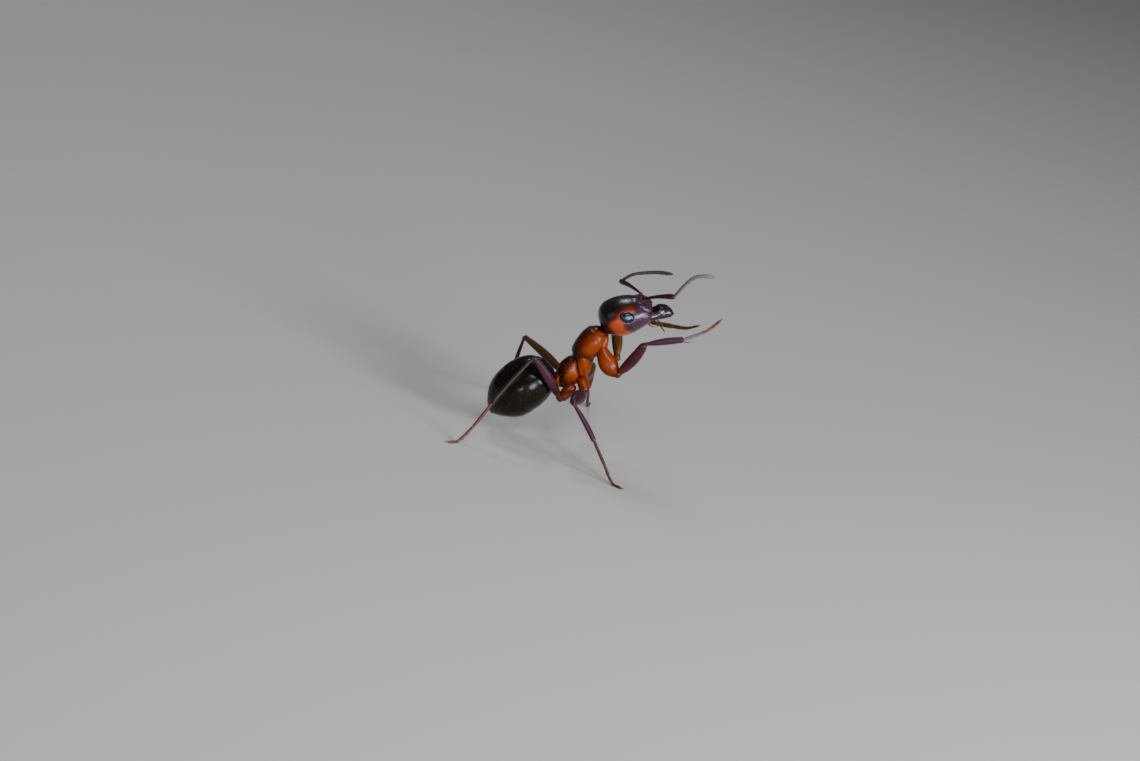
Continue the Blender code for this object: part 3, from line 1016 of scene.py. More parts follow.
# name, joints, route on the left and half thickness
PALPS = (("maxillary", 6, MAXILLARY_ROUTE, 0.042), ("labial", 4, LABIAL_ROUTE, 0.026))
for label, joints, corners, thickness in PALPS:
    for side, word in SIDES:
        flip = Vector((1, side, 1))
        jointed(
            label + "_palp_" + word,
            curve_through([head_seat @ (Vector(corner) * flip) for corner in corners]),
            even_marks(joints),
            [(share, thickness * thin) for share, thin in PALP_TAPER],
            lip_finish,
            [],
            dark=lambda share: 0.25 + 0.6 * share,
            waist=0.55,
            sides=10,
        )


# ------------------------------------------------------------ antennae
# A long wine-red first joint, the scape, turns on a ball in its socket on the face. Eleven short
# grey joints follow it, thinner than the scape's end and matt with the finest down. The right whip
# is painted paler towards its tip as a highlight, and the left one dark brown as painted shade.

SCAPE_LENGTH = 2.05 * MM
SCAPE_BOW = 0.05
WHIP_BEND = 0.56 * MM
# bearing and rise of the scape, then of the whip's four bends
ANTENNA_POSE = {
    "right": ((60, 24), ((-4, 62), (-35, 38), (-32, 8), (-33, -8))),
    "left": ((109, -6), ((12, 38), (15, 15), (5, 12), (-6, 6))),
}
# share of the length, half depth and half width
SCAPE_SIZES = (
    (0, 0.050, 0.050),
    (0.03, 0.062, 0.062),
    (0.065, 0.040, 0.040),
    (0.16, 0.052, 0.050),
    (0.5, 0.078, 0.072),
    (0.84, 0.108, 0.10),
    (0.965, 0.108, 0.10),
    (1, 0.055, 0.055),
)
# share of the length and half thickness
WHIP_THICKNESS = (
    (0, 0.046),
    (0.05, 0.058),
    (0.15, 0.062),
    (0.55, 0.074),
    (0.85, 0.078),
    (0.95, 0.060),
    (1, 0.016),
)
WHIP_JOINTS = 11
# the right whip is painted paler towards its tip as a highlight, the left one dark brown all along
# as painted shade
WHIP_TAN_AND_PAINTED_LIGHT = {"right": lambda share: 0.66 - 0.7 * rise(share, 0.55, 1.0), "left": lambda share: 1.0}
SCAPE_WINE = (0.055, 0.0022, 0.012)
SCAPE_DARK = (0.035, 0.004, 0.0015)
WHIP_GREY = (0.155, 0.140, 0.120)
WHIP_BROWN = (0.018, 0.014, 0.008)
SOCKET_BROWN = (0.022, 0.009, 0.007)
SOCKET_DARK = (0.01, 0.005, 0.005)
SOCKET_HEIGHT = 0.655
SOCKET_HALF = (0.055, 0.055, 0.05)
scape_finish = cuticle("scape_cuticle", (SCAPE_WINE, SCAPE_DARK), roughness=0.32, level=0.22)
whip_finish = cuticle(
    "whip_cuticle", (WHIP_GREY, WHIP_BROWN), roughness=0.50, clouding=0.35, level=0.2
)
socket_finish = cuticle("socket_membrane", (SOCKET_BROWN, SOCKET_DARK), roughness=0.45)
mm_place = Matrix.Scale(MM, 4)
for side, word in SIDES:
    (bearing, lift), bends = ANTENNA_POSE[word]
    root = head_seat @ Vector((ANTENNA_SPOT[0], side * ANTENNA_SPOT[1], ANTENNA_SPOT[2]))
    elbow = root + heading(bearing, lift, side) * SCAPE_LENGTH
    scape_form = bmesh.new()
    route = straight(root / MM, elbow / MM, Vector((0, 0, SCAPE_BOW)))
    sweep(scape_form, route, SCAPE_SIZES, rings=64, around=28)
    along = (elbow - root).normalized()
    finish(
        "antenna_scape_" + word,
        scape_form,
        scape_finish,
        mm_place,
        ["scape_" + word],
        dark=lambda spot, normal: 1 - rise((spot - root / MM).length, 0.3, 1.1),
        hairy=1.0,
        lie=along,
    )
    corners = [elbow]
    for turn, tilt in bends:
        corners.append(corners[-1] + heading(turn, tilt, side) * WHIP_BEND)
    jointed(
        "antenna_whip_" + word,
        curve_through(corners),
        even_marks(WHIP_JOINTS, first=0.12),
        WHIP_THICKNESS,
        whip_finish,
        ["funiculus_" + word],
        dark=WHIP_TAN_AND_PAINTED_LIGHT[word],
        waist=0.26,
        sides=18,
    )
    socket_form = bmesh.new()
    socket_spot = (ANTENNA_SPOT[0], side * ANTENNA_SPOT[1], SOCKET_HEIGHT)
    add_ball(socket_form, socket_spot, SOCKET_HALF)
    finish("antenna_socket_" + word, socket_form, socket_finish, head_seat, [])


# ------------------------------------------------------------ trunk
# The trunk is a box of orange plates locked edge to edge: a domed collar in front with the neck,
# then the side plates, and behind a deep groove the rounded rear that carries the waist. Darker
# seams, two breathing slits and the swollen scent glands mark it. Its orange also carries painted
# light and shade: golden pools on the middles of the plates, and darker tops, rims and ends.

TRUNK_PITCH = 62
TRUNK_FROM_HEAD = Vector((-1.38, 0, -2.29)) * MM
# the golden shade is painted light, reached mostly in the lit middles of the plates and hips; the
# browner shades carry painted shade on tops, rims and ends as well as the darker seams
TRUNK_PAINTED_LIGHT_GOLD = (0.205, 0.031, 0.001)
TRUNK_ORANGE = (0.140, 0.018, 0.001)
TRUNK_RUST = (0.068, 0.008, 0.001)
TRUNK_BROWN = (0.018, 0.004, 0.002)
trunk_seat = seat(head_centre + TRUNK_FROM_HEAD, TRUNK_PITCH)
trunk_finish = cuticle(
    "trunk_cuticle",
    (TRUNK_PAINTED_LIGHT_GOLD, TRUNK_ORANGE, TRUNK_RUST, TRUNK_BROWN),
    roughness=0.27,
    clouding=0.7,
    coat=0.03,
    glow=0.05,
    level=0.13,
)


def collar_relief(x, y, z):
    across = abs(y)
    lip = 0.014 * swell(x - 1.50 + 0.25 * z, 0.05) - 0.020 * swell(x - 1.60 + 0.25 * z, 0.035)
    seam = -0.012 * swell(x - 0.78 - 0.55 * z, 0.016) * (1 - rise(across, 0.30, 0.42))
    return lip + seam


# The seams are the collar's own darker joints, and it darkens towards the neck. The rest is
# painted: a golden pool of light on the middle of the side, and painted shade towards the rim, on
# the upper faces, higher up and towards the rear end.
def collar_seams_and_painted_shade(spot, normal):
    x, y, z = spot
    seam = swell(x - 0.78 - 0.55 * z, 0.03) * (1 - rise(abs(y), 0.30, 0.42)) * 0.35
    back = 0.36 * rise(normal.z, 0.15, 0.80) + 0.22 * rise(z, 0.35, 0.70)
    rear = 0.50 * (1 - rise(x + 0.5 * z, 0.45, 0.95))
    neck = 0.55 * rise(x, 1.50, 1.75)
    outer = 0.30 * (1 - swell(math.hypot(x - 1.0, z - 0.12), 0.50))
    return min(outer + seam + back + rear + neck, 1)


collar_form = loft(
    [
        (0.30, 0.34, 0.36, -0.22, -0.40),
        (0.38, 0.49, 0.48, -0.31, -0.40),
        (0.56, 0.60, 0.60, -0.38, -0.34),
        (0.86, 0.65, 0.67, -0.40, -0.20),
        (1.15, 0.65, 0.68, -0.35, -0.08),
        (1.40, 0.56, 0.60, -0.27, 0.0),
        (1.58, 0.40, 0.46, -0.20, 0.0),
        (1.70, 0.28, 0.31, -0.17, 0.0),
        (1.86, 0.21, 0.19, -0.16, 0.0),
        (2.05, 0.19, 0.17, -0.16, 0.0),
    ],
    ring_count=150,
    around=170,
    dome=(0.06, 0.03),
    square=2.1,
)
emboss(collar_form, collar_relief)
finish(
    "trunk_collar",
    collar_form,
    trunk_finish,
    trunk_seat,
    ["pronotum"],
    dark=collar_seams_and_painted_shade,
    hairy=lambda spot, normal: rise(normal.z, -0.2, 0.5) * (1 - rise(spot.x, 1.45, 1.6)),
    lie=(-1, 0, 0),
)

SIDE_GROOVE = ((0.26, 0.42), (0.12, 0.29), (-0.04, 0.07), (-0.22, -0.16), (-0.42, -0.47))
SIDE_LOBE = ((0.30, 0.06), (0.02, -0.34))
REAR_LOBE = ((-0.10, 0.30), (-0.70, 0.10))


def rear_relief(x, y, z):
    across = abs(y)
    flank = rise(across, 0.12, 0.30)
    groove = -0.065 * swell(to_line(x, z, SIDE_GROOVE), 0.045) * flank
    side_lobe = 0.075 * swell(to_line(x, z, SIDE_LOBE), 0.16) * flank
    rear_lobe = 0.045 * swell(to_line(x, z, REAR_LOBE), 0.17) * flank
    waist_groove = -0.05 * swell(x - 0.02, 0.07) * rise(z, 0.15, 0.35)
    slit = math.hypot((x + 0.52) / 0.022, (z - 0.20) / 0.055)
    breath = (0.008 * swell(slit - 1.35, 0.4) - 0.02 * (1 - rise(slit, 0.5, 1.0))) * flank
    gland = 0.035 * swell(math.hypot(x + 0.86, z + 0.22), 0.09) * flank
    middle = -0.012 * swell(y, 0.015) * rise(-z, 0.2, 0.4)
    return groove + side_lobe + rear_lobe + waist_groove + breath + gland + middle


# The side groove and the waist furrow are the shell's darker seams, and it darkens towards its
# front end. The rest is painted: the two lobes lighter as pools of light, and painted shade on the
# upper faces and towards the rear end.
def rear_seams_and_painted_shade(spot, normal):
    x, y, z = spot
    flank = rise(abs(y), 0.12, 0.30)
    groove = 0.75 * swell(to_line(x, z, SIDE_GROOVE), 0.05) * flank
    furrow = 0.5 * swell(x - 0.02, 0.09) * rise(z, 0.15, 0.35)
    back = 0.50 * rise(normal.z, 0.1, 0.8) + 0.38 * rise(-x, 0.35, 0.9)
    front = 0.30 * rise(x, 0.35, 0.5)
    lobes = swell(math.hypot(x - 0.12, z + 0.15), 0.30) + swell(math.hypot(x + 0.45, z), 0.25)
    return min(0.34 - 0.30 * min(lobes, 1) + groove + furrow + back + front, 1)


rear_form = loft(
    [
        (-1.10, 0.15, 0.08, -0.18),
        (-1.03, 0.29, 0.19, -0.30),
        (-0.88, 0.40, 0.34, -0.45),
        (-0.66, 0.47, 0.47, -0.56),
        (-0.42, 0.48, 0.51, -0.60),
        (-0.16, 0.44, 0.46, -0.61),
        (0.04, 0.43, 0.40, -0.60),
        (0.20, 0.44, 0.43, -0.54),
        (0.38, 0.44, 0.46, -0.46),
        (0.57, 0.36, 0.44, -0.38),
    ],
    ring_count=150,
    around=160,
    dome=(0.04, 0.05),
    square=2.15,
)
emboss(rear_form, rear_relief)
finish(
    "trunk_rear",
    rear_form,
    trunk_finish,
    trunk_seat,
    ["mesothorax", "propodeum"],
    dark=rear_seams_and_painted_shade,
    hairy=lambda spot, normal: 0.75 * rise(normal.z, 0.0, 0.6) + 0.08,
    lie=(-1, 0, 0),
)

# the flat plates that cover each side of the neck, above the fore hips
NECK_ROUTE = ((1.72, 0.18, 0.02), (1.50, 0.34, -0.06), (1.22, 0.42, -0.20), (0.98, 0.40, -0.36))
NECK_SIZES = (
    (0, 0.08, 0.05),
    (0.25, 0.17, 0.11),
    (0.65, 0.20, 0.13),
    (0.92, 0.14, 0.10),
    (1, 0.07, 0.06),
)
for side, word in SIDES:
    neck_form = bmesh.new()
    route = curve_through([Vector(corner) * Vector((1, side, 1)) for corner in NECK_ROUTE])
    sweep(neck_form, route, NECK_SIZES, rings=44, around=40, side=Vector((0, 1, 0)))
    finish(
        "neck_plate_" + word,
        neck_form,
        trunk_finish,
        trunk_seat,
        [],
        dark=lambda spot, normal: 0.22 + 0.3 * rise(spot.x, 1.45, 1.7),
        hairy=0.1,
        lie=(-1, 0, 0),
    )


# ------------------------------------------------------------ waist
# One joint between trunk and gaster, drawn up into an upright scale with a thin rounded crest.
# It is the same orange cuticle as the trunk, with a stalk at each end, where in life
# the gaster hinges.

WAIST_PITCH = -8
WAIST_FROM_HEAD = Vector((-2.04, 0, -3.22)) * MM
waist_seat = seat(head_centre + WAIST_FROM_HEAD, WAIST_PITCH)
waist_form = loft(
    [
        (-0.36, 0.13, 0.02, -0.18),
        (-0.22, 0.20, 0.10, -0.24),
        (-0.14, 0.36, 0.30, -0.25),
        (-0.08, 0.43, 0.38, -0.25),
        (0.00, 0.42, 0.36, -0.25),
        (0.10, 0.30, 0.20, -0.24),
        (0.22, 0.17, 0.05, -0.21),
        (0.44, 0.13, 0.02, -0.18),
    ],
    ring_count=90,
    around=96,
    dome=(0.02, 0.02),
)
emboss(waist_form, lambda x, y, z: 0.012 * swell(z - 0.30, 0.05) * swell(x + 0.04, 0.12))
finish(
    "waist_scale",
    waist_form,
    trunk_finish,
    waist_seat,
    ["petiole"],
    dark=lambda spot, normal: 0.40 + 0.25 * rise(spot.z, 0.1, 0.38),
    hairy=lambda spot, normal: rise(spot.z, 0.1, 0.3) * 0.6,
    lie=(-0.5, 0, 1),
)


# ------------------------------------------------------------ gaster
# The egg-shaped rear body is made of five ringed plates that slide into one another like a
# telescope, each with a thin smooth hind edge. They are black and polished under sparse down, and
# the tip ends in the small round nozzle that sprays acid.

GASTER_PITCH = 62
GASTER_FROM_HEAD = Vector((-3.53, 0, -3.79)) * MM
GASTER_BLACK = (0.0050, 0.0036, 0.0022)
GASTER_BROWN = (0.022, 0.011, 0.004)
PLATE_EDGES = (0.42, -0.38, -0.92, -1.24)  # where each plate ends over the next
PLATE_LEAN = 0.22
PLATE_STEP = 0.005
gaster_seat = seat(head_centre + GASTER_FROM_HEAD, GASTER_PITCH)
gaster_finish = cuticle(
    "gaster_cuticle",
    (GASTER_BROWN, GASTER_BLACK, GASTER_BLACK),
    roughness=0.19,
    grain=0.014,
    relief=0.00022,
    clouding=0.15,
    level=0.19,
)


def gaster_relief(x, y, z):
    band = x + PLATE_LEAN * z
    height = 0.0
    for edge in PLATE_EDGES:
        over = band - edge
        if over >= 0:
            height += PLATE_STEP * (1 - rise(over, 0.0, 0.50))
        else:
            height -= PLATE_STEP * (1 - rise(-over, 0.0, 0.40))
    return height


def gaster_dark(spot, normal):
    band = spot.x + PLATE_LEAN * spot.z
    edge = max(swell(band - edge - 0.035, 0.030) for edge in PLATE_EDGES)
    return 0.75 - 0.20 * edge - 0.3 * rise(-spot.x, 1.25, 1.5)


gaster_form = loft(
    [
        (-1.47, 0.08, 0.14, -0.06, -PLATE_LEAN),
        (-1.42, 0.22, 0.24, -0.26, -PLATE_LEAN),
        (-1.33, 0.39, 0.33, -0.46, -PLATE_LEAN),
        (-1.00, 0.76, 0.59, -0.93, -PLATE_LEAN),
        (-0.45, 1.02, 0.87, -1.15, -PLATE_LEAN),
        (0.24, 1.12, 0.94, -1.23, -PLATE_LEAN),
        (0.88, 0.97, 0.80, -1.07, -PLATE_LEAN),
        (1.28, 0.66, 0.54, -0.74, -PLATE_LEAN),
        (1.44, 0.38, 0.30, -0.45, -PLATE_LEAN),
        (1.50, 0.16, 0.10, -0.22, -PLATE_LEAN),
    ],
    ring_count=260,
    around=200,
    dome=(0.02, 0.03),
)
emboss(gaster_form, gaster_relief)
finish(
    "gaster_plates",
    gaster_form,
    gaster_finish,
    gaster_seat,
    ["gaster"],
    dark=gaster_dark,
    hairy=lambda spot, normal: 0.35 + 0.65 * rise(-spot.x, 0.2, 1.2),
    lie=(-1, 0, 0),
)
nozzle_form = bmesh.new()
add_spike(nozzle_form, (-1.44, 0, 0.04), (-1.53, 0, 0.03), 0.060, around=20, rings=10)
finish(
    "acid_nozzle",
    nozzle_form,
    gaster_finish,
    gaster_seat,
    [],
    dark=0.15,
    hairy=1.0,
    lie=(-1, 0, 0),
)


# ------------------------------------------------------------ legs
# Six legs of hip, ring, thigh and shin, each with a foot of five joints, two claws and a pad. The
# hips are orange with painted lighter middles. The right legs are purple-brown, their purple a
# painted sky sheen, and the left ones are the same cuticle painted a browner olive as shade. The
# fore shins carry the long spur that combs the antennae, the other shins a shorter one.

# lengths of hip, thigh, shin and foot of each pair, in millimetres
LEG_LENGTHS = {
    "fore": (1.38, 1.92, 1.58, 2.10),
    "mid": (0.68, 1.92, 1.75, 2.20),
    "hind": (0.79, 2.46, 2.46, 2.40),
}
HIP_PLACES = {
    "fore": (1.22, 0.34, -0.12),
    "mid": (-0.31, 0.30, -0.44),
    "hind": (-0.76, 0.30, -0.44),
}
# bearing and rise of hip, thigh and shin, then the bearing of a foot that stands
STANCE = {
    ("fore", "right"): ((24, -46), (46, 61), (8, 22)),
    ("fore", "left"): ((30, -37), (109, 48), (-20, 5)),
    ("mid", "right"): ((56, -48), (110, 3), (30, -43), 39),
    ("mid", "left"): ((56, -48), (75, 5), (80, -50), 75),
    ("hind", "right"): ((145, -48), (152, 45), (157, -56), 148),
    ("hind", "left"): ((112, -4), (137, 16), (97, -72), 56),
}
# bearing and rise of the three bends of a fore foot, and the share of its length each takes
GRIP = {"right": ((-46, 9), (-35, 28), (-6, 52)), "left": ((-29, 10), (-31, 16), (-28, 30))}
GRIP_SHARES = (0.62, 0.16, 0.22)
TOE_REST = 0.13  # the height that a standing foot slopes down to
TOE_LENGTH = 0.42
SOLE = 0.062  # half the foot's thickness where it lies on the floor
HEEL_LIFT = 0.03  # how much higher the foot lies where its toe part begins
FOOT_SAG = {"mid": 0.0, "hind": 0.14}
KNEE_GAP = 0.045
KNEE_LOBE = (0.062, 0.062, 0.062)
SPUR_LENGTH = {"fore": 0.34, "mid": 0.24, "hind": 0.24}
SPUR_BEND = {"fore": 0.05, "mid": 0.015, "hind": 0.015}
SPUR_THICKNESS = 0.028
CLAW_REACH, CLAW_DROP, CLAW_SPREAD, CLAW_GAP = 0.13, 0.035, 0.055, 0.022
CLAW_THICKNESS = 0.017
PAD_HALF = (0.030, 0.030, 0.018)
# share of the length, half depth and half width of each length of leg
HIP_SIZES = (
    (0, 0.13, 0.13), (0.12, 0.21, 0.20), (0.45, 0.25, 0.23),
    (0.82, 0.22, 0.20), (0.95, 0.17, 0.16), (1, 0.11, 0.11),
)
FORE_HIP_SIZES = {
    "right": (
        (0, 0.12, 0.12), (0.08, 0.20, 0.20), (0.28, 0.29, 0.27), (0.52, 0.375, 0.33),
        (0.76, 0.34, 0.29), (0.93, 0.20, 0.19), (1, 0.12, 0.12),
    ),
    "left": (
        (0, 0.12, 0.12), (0.10, 0.17, 0.17), (0.5, 0.25, 0.25), (0.93, 0.16, 0.16), (1, 0.12, 0.12),
    ),
}
RING_SIZES = (
    (0, 0.07, 0.07), (0.2, 0.135, 0.13), (0.6, 0.150, 0.145), (0.88, 0.125, 0.12), (1, 0.07, 0.07),
)
THIGH_SIZES = {
    "fore": (
        (0, 0.10, 0.10), (0.05, 0.145, 0.13), (0.24, 0.205, 0.17), (0.50, 0.228, 0.19),
        (0.76, 0.20, 0.165), (0.92, 0.165, 0.14), (0.98, 0.13, 0.12), (1, 0.08, 0.08),
    ),
    "mid": (
        (0, 0.10, 0.10), (0.05, 0.14, 0.13), (0.22, 0.22, 0.19), (0.50, 0.28, 0.235),
        (0.80, 0.22, 0.19), (0.94, 0.155, 0.145), (0.985, 0.13, 0.12), (1, 0.08, 0.08),
    ),
    "hind": (
        (0, 0.08, 0.08), (0.04, 0.12, 0.11), (0.20, 0.175, 0.15), (0.46, 0.19, 0.16),
        (0.76, 0.15, 0.13), (0.94, 0.115, 0.11), (0.985, 0.11, 0.105), (1, 0.07, 0.07),
    ),
}
SHIN_SIZES = {
    "fore": (
        (0, 0.05, 0.05), (0.03, 0.085, 0.08), (0.10, 0.075, 0.07), (0.30, 0.125, 0.105),
        (0.60, 0.155, 0.12), (0.88, 0.135, 0.11), (0.975, 0.115, 0.10), (1, 0.06, 0.06),
    ),
    "mid": (
        (0, 0.05, 0.05), (0.03, 0.085, 0.08), (0.09, 0.070, 0.065), (0.30, 0.105, 0.09),
        (0.62, 0.130, 0.105), (0.90, 0.115, 0.10), (0.98, 0.10, 0.09), (1, 0.05, 0.05),
    ),
    "hind": (
        (0, 0.05, 0.05), (0.02, 0.080, 0.075), (0.07, 0.060, 0.058), (0.30, 0.078, 0.070),
        (0.62, 0.088, 0.078), (0.92, 0.098, 0.088), (0.985, 0.088, 0.080), (1, 0.045, 0.045),
    ),
}
# share of the length and half thickness; the left fore foot is the stouter one
FOOT_THICKNESS = (
    (0, 0.050), (0.04, 0.066), (0.45, 0.064), (0.75, 0.060), (0.93, 0.058), (1, 0.045),
)
LEFT_FORE_FOOT_THICKNESS = ((0, 0.060), (0.04, 0.092), (0.45, 0.094), (0.75, 0.070), (1, 0.045))
FOOT_JOINTS = (0, 0.48, 0.66, 0.78, 0.87, 1.0)
# how the tan runs along each foot; on the near fore foot the first joints take a painted lilac
# highlight
FOOT_TAN_AND_PAINTED_HIGHLIGHT = {
    ("fore", "right"): lambda share: 1 - rise(share, 0.35, 0.75),
    ("fore", "left"): lambda share: 0.45 + 0.3 * share,
    ("hind", "right"): lambda share: 0.35 - 0.2 * share,
}
# how far each length bows out of straight, in millimetres
THIGH_BOW = {"fore": (0.08, 0, 0), "mid": (0, 0, 0.04), "hind": (0, 0, 0.05)}
SHIN_BOW = {"fore": (0, 0, 0.02), "mid": (0.03, 0, 0.03), "hind": (-0.02, 0, 0.03)}
FORE_HIP_BOW = {"right": (-0.06, 0, -0.10), "left": (-0.12, 0, -0.34)}

# The right legs run from rust through maroon and a purple that is painted sky sheen to umber. The
# olive pair paints the left legs as the same cuticle in shade, and the lilac of the near fore foot
# is a painted highlight.
LEG_RUST = (0.090, 0.014, 0.003)
LEG_MAROON = (0.038, 0.007, 0.006)
LEG_PAINTED_SHEEN_PURPLE = (0.040, 0.012, 0.026)
LEG_UMBER = (0.012, 0.006, 0.003)
OLIVE_PALE = (0.100, 0.032, 0.003)
OLIVE_DARK = (0.032, 0.015, 0.005)
FOOT_BRONZE = (0.095, 0.026, 0.008)
FOOT_BROWN = (0.034, 0.012, 0.006)
GRIP_RUST = (0.105, 0.024, 0.006)
GRIP_PAINTED_HIGHLIGHT_LILAC = (0.115, 0.085, 0.110)
CLAW_AMBER = (0.16, 0.05, 0.02)
CLAW_BROWN = (0.05, 0.02, 0.012)
leg_finish = cuticle(
    "leg_cuticle",
    (LEG_RUST, LEG_MAROON, LEG_PAINTED_SHEEN_PURPLE, LEG_UMBER),
    roughness=0.33,
    grain=0.018,
    clouding=0.12,
    coat=0.04,
    level=0.22,
)
left_leg_shaded_finish = cuticle(
    "left_leg_cuticle", (OLIVE_PALE, OLIVE_DARK), roughness=0.36, grain=0.018, level=0.22
)
foot_finish = cuticle(
    "foot_cuticle",
    (FOOT_BRONZE, FOOT_BROWN),
    roughness=0.36,
    grain=0.014,
    clouding=0.3,
    down=0.04,
)
grip_finish = cuticle(
    "fore_foot_cuticle",
    (GRIP_RUST, GRIP_PAINTED_HIGHLIGHT_LILAC),
    roughness=0.32,
    grain=0.014,
    clouding=0.2,
    down=0.04,
)
claw_finish = cuticle(
    "claw_cuticle", (CLAW_AMBER, CLAW_BROWN), roughness=0.22, relief=0.0, coat=0.4
)
hip_finish = cuticle(
    "hip_cuticle",
    (TRUNK_PAINTED_LIGHT_GOLD, TRUNK_ORANGE, TRUNK_RUST, TRUNK_BROWN),
    roughness=0.26,
    clouding=0.4,
    coat=0.06,
    glow=0.05,
    level=0.15,
)


def leg_length(name, start, end, sizes, bow, side, material, nodes, dark, extra=None):
    """One length of leg, with any extra closed parts that grow from it."""
    form = bmesh.new()
    sweep(form, straight(start, end, Vector(bow)), sizes, rings=56, around=30, side=side)
    if extra:
        extra(form)
    along = (end - start).normalized()
    reach = (end - start).length

    def share_of(spot):
        return (spot - start).dot(along) / reach

    finish(
        name,
        form,
        material,
        mm_place,
        nodes,
        dark=lambda spot, normal: dark(share_of(spot)),
        hairy=lambda spot, normal: rise(share_of(spot), 0.05, 0.2),
        lie=along,
    )


# how the tan runs along thigh and shin, at the start, the middle and the end of each; on the
# right legs the values near two thirds give the painted purple sky sheen
THIGH_TAN_AND_PAINTED_SHEEN = {"fore": (0.05, 0.36, 0.42), "mid": (0.30, 0.80, 0.85), "hind": (0.10, 0.60, 0.55)}
SHIN_TAN_AND_PAINTED_SHEEN = {"fore": (0.45, 0.64, 0.62), "mid": (0.50, 0.64, 0.62), "hind": (0.90, 1.0, 0.90)}


def along_length(tans):
    start, middle, end = tans
    stations = ((0, start), (0.5, middle), (1, end))
    return lambda share: between(stations, share)[0]


for (pair, word), pose in STANCE.items():
    side = 1 if word == "left" else -1
    near = word == "right"
    fore = pair == "fore"
    hip_length, thigh_length, shin_length, foot_length = LEG_LENGTHS[pair]
    x, y, z = HIP_PLACES[pair]
    hip = trunk_seat @ Vector((x, side * y, z)) / MM
    ring = hip + heading(*pose[0], side) * hip_length
    knee = ring + heading(*pose[1], side) * thigh_length
    ankle = knee + heading(*pose[2], side) * shin_length
    tail = "_" + pair + "_" + word
    bend_plane = (knee - ring).cross(ankle - knee).normalized()
    # each hip is painted lighter in its middle as a pool of light, most of all the near fore hip,
    # and it darkens towards its end
    hip_painted_light = 0.45 if fore and near else 0.15
    leg_length(
        "hip" + tail,
        hip,
        ring,
        FORE_HIP_SIZES[word] if fore else HIP_SIZES,
        FORE_HIP_BOW[word] if fore else (0, 0, 0),
        bend_plane,
        hip_finish,
        ["coxa" + tail],
        dark=lambda share: 0.5 - hip_painted_light * swell(share - 0.5, 0.3) + 0.25 * rise(share, 0.85, 1),
    )
    toward = (knee - ring).normalized()
    ring_form = bmesh.new()
    route = straight(ring - toward * 0.10, ring + toward * 0.20, Vector())
    sweep(ring_form, route, RING_SIZES, rings=26, around=28, side=bend_plane)
    skin = leg_finish if near else left_leg_shaded_finish
    finish("leg_ring" + tail, ring_form, skin, mm_place, [], dark=0.10)

    def knee_lobes(form):
        for turn in (-1, 1):
            place = knee + bend_plane * KNEE_GAP * turn - toward * 0.02
            add_ball(form, place, KNEE_LOBE, 16, 10)

    leg_length(
        "thigh" + tail,
        ring + toward * 0.14,
        knee,
        THIGH_SIZES[pair],
        THIGH_BOW[pair],
        bend_plane,
        skin,
        ["femur" + tail],
        dark=along_length(THIGH_TAN_AND_PAINTED_SHEEN[pair]),
        extra=knee_lobes,
    )
    shin = (ankle - knee).normalized()
    below = bend_plane.cross(shin)
    below = below if below.dot(toward) < 0 else -below
    spur_root = ankle - shin * 0.06 + below * 0.07
    spur_tip = spur_root + shin * SPUR_LENGTH[pair] + below * 0.08
    spur_bend = below * SPUR_BEND[pair]

    def spur(form):
        add_spike(form, spur_root, spur_tip, SPUR_THICKNESS, spur_bend, rings=9)

    leg_length(
        "shin" + tail,
        knee,
        ankle,
        SHIN_SIZES[pair],
        SHIN_BOW[pair],
        bend_plane,
        skin,
        ["tibia" + tail],
        dark=along_length(SHIN_TAN_AND_PAINTED_SHEEN[pair]),
        extra=spur,
    )
    corners = [ankle]
    if fore:
        for bend, share in zip(GRIP[word], GRIP_SHARES):
            corners.append(corners[-1] + heading(*bend, side) * foot_length * share)
    else:
        slope = foot_length - TOE_LENGTH
        fall = -math.degrees(math.asin((ankle.z - TOE_REST) / slope))
        heel = ankle + heading(pose[3], fall, side) * slope
        heel.z = SOLE + HEEL_LIFT
        toe = heel + heading(pose[3], 0, side) * TOE_LENGTH
        toe.z = SOLE
        corners += [ankle.lerp(heel, 0.5) - Vector((0, 0, FOOT_SAG[pair])), heel, toe]
    jointed(
        "foot" + tail,
        curve_through([corner * MM for corner in corners]),
        FOOT_JOINTS,
        LEFT_FORE_FOOT_THICKNESS if fore and not near else FOOT_THICKNESS,
        grip_finish if fore and near else foot_finish if near else left_leg_shaded_finish,
        ["tarsus" + tail],
        dark=FOOT_TAN_AND_PAINTED_HIGHLIGHT.get((pair, word), lambda share: 0.75 - 0.35 * share),
        waist=0.45,
    )
    tip = corners[-1]
    onward = (corners[-1] - corners[-2]).normalized()
    flat = Vector((-onward.y, onward.x, 0)).normalized()
    down = onward.cross(flat)
    down = down if down.z < 0 else -down
    claw_bend = onward * 0.02 - down * 0.030
    claw_reach = onward * CLAW_REACH + down * CLAW_DROP
    claw_form = bmesh.new()
    for turn in (-1, 1):
        root = tip + flat * CLAW_GAP * turn
        point = root + claw_reach + flat * CLAW_SPREAD * turn
        add_spike(claw_form, root, point, CLAW_THICKNESS, claw_bend, rings=10)
    add_ball(claw_form, tip + onward * 0.035, PAD_HALF, 12, 8)
    finish("claws" + tail, claw_form, claw_finish, mm_place, [], dark=0.4)


# ------------------------------------------------------------ bristles
# Fine golden hairs stand over the gaster, the back and the head, and shorter ones lie along the
# legs, feet and feelers. Each is one tapered, bent bristle of hard cuticle, rooted in its own pore,
# and none of them reaches into the floor.

BRISTLE_GOLD = (0.16, 0.090, 0.036)
CROWDING = 1.3  # bristles tried for in each square of the gap
SWAY = 0.2  # how far chance turns each one
SHORTEST, LONGEST = 0.6, 1.15  # shares of the coat's length
FLOOR_GAP = 0.03 * MM
PATCH_SIZE = 0.0015  # of a bristle in the skin's unwrap


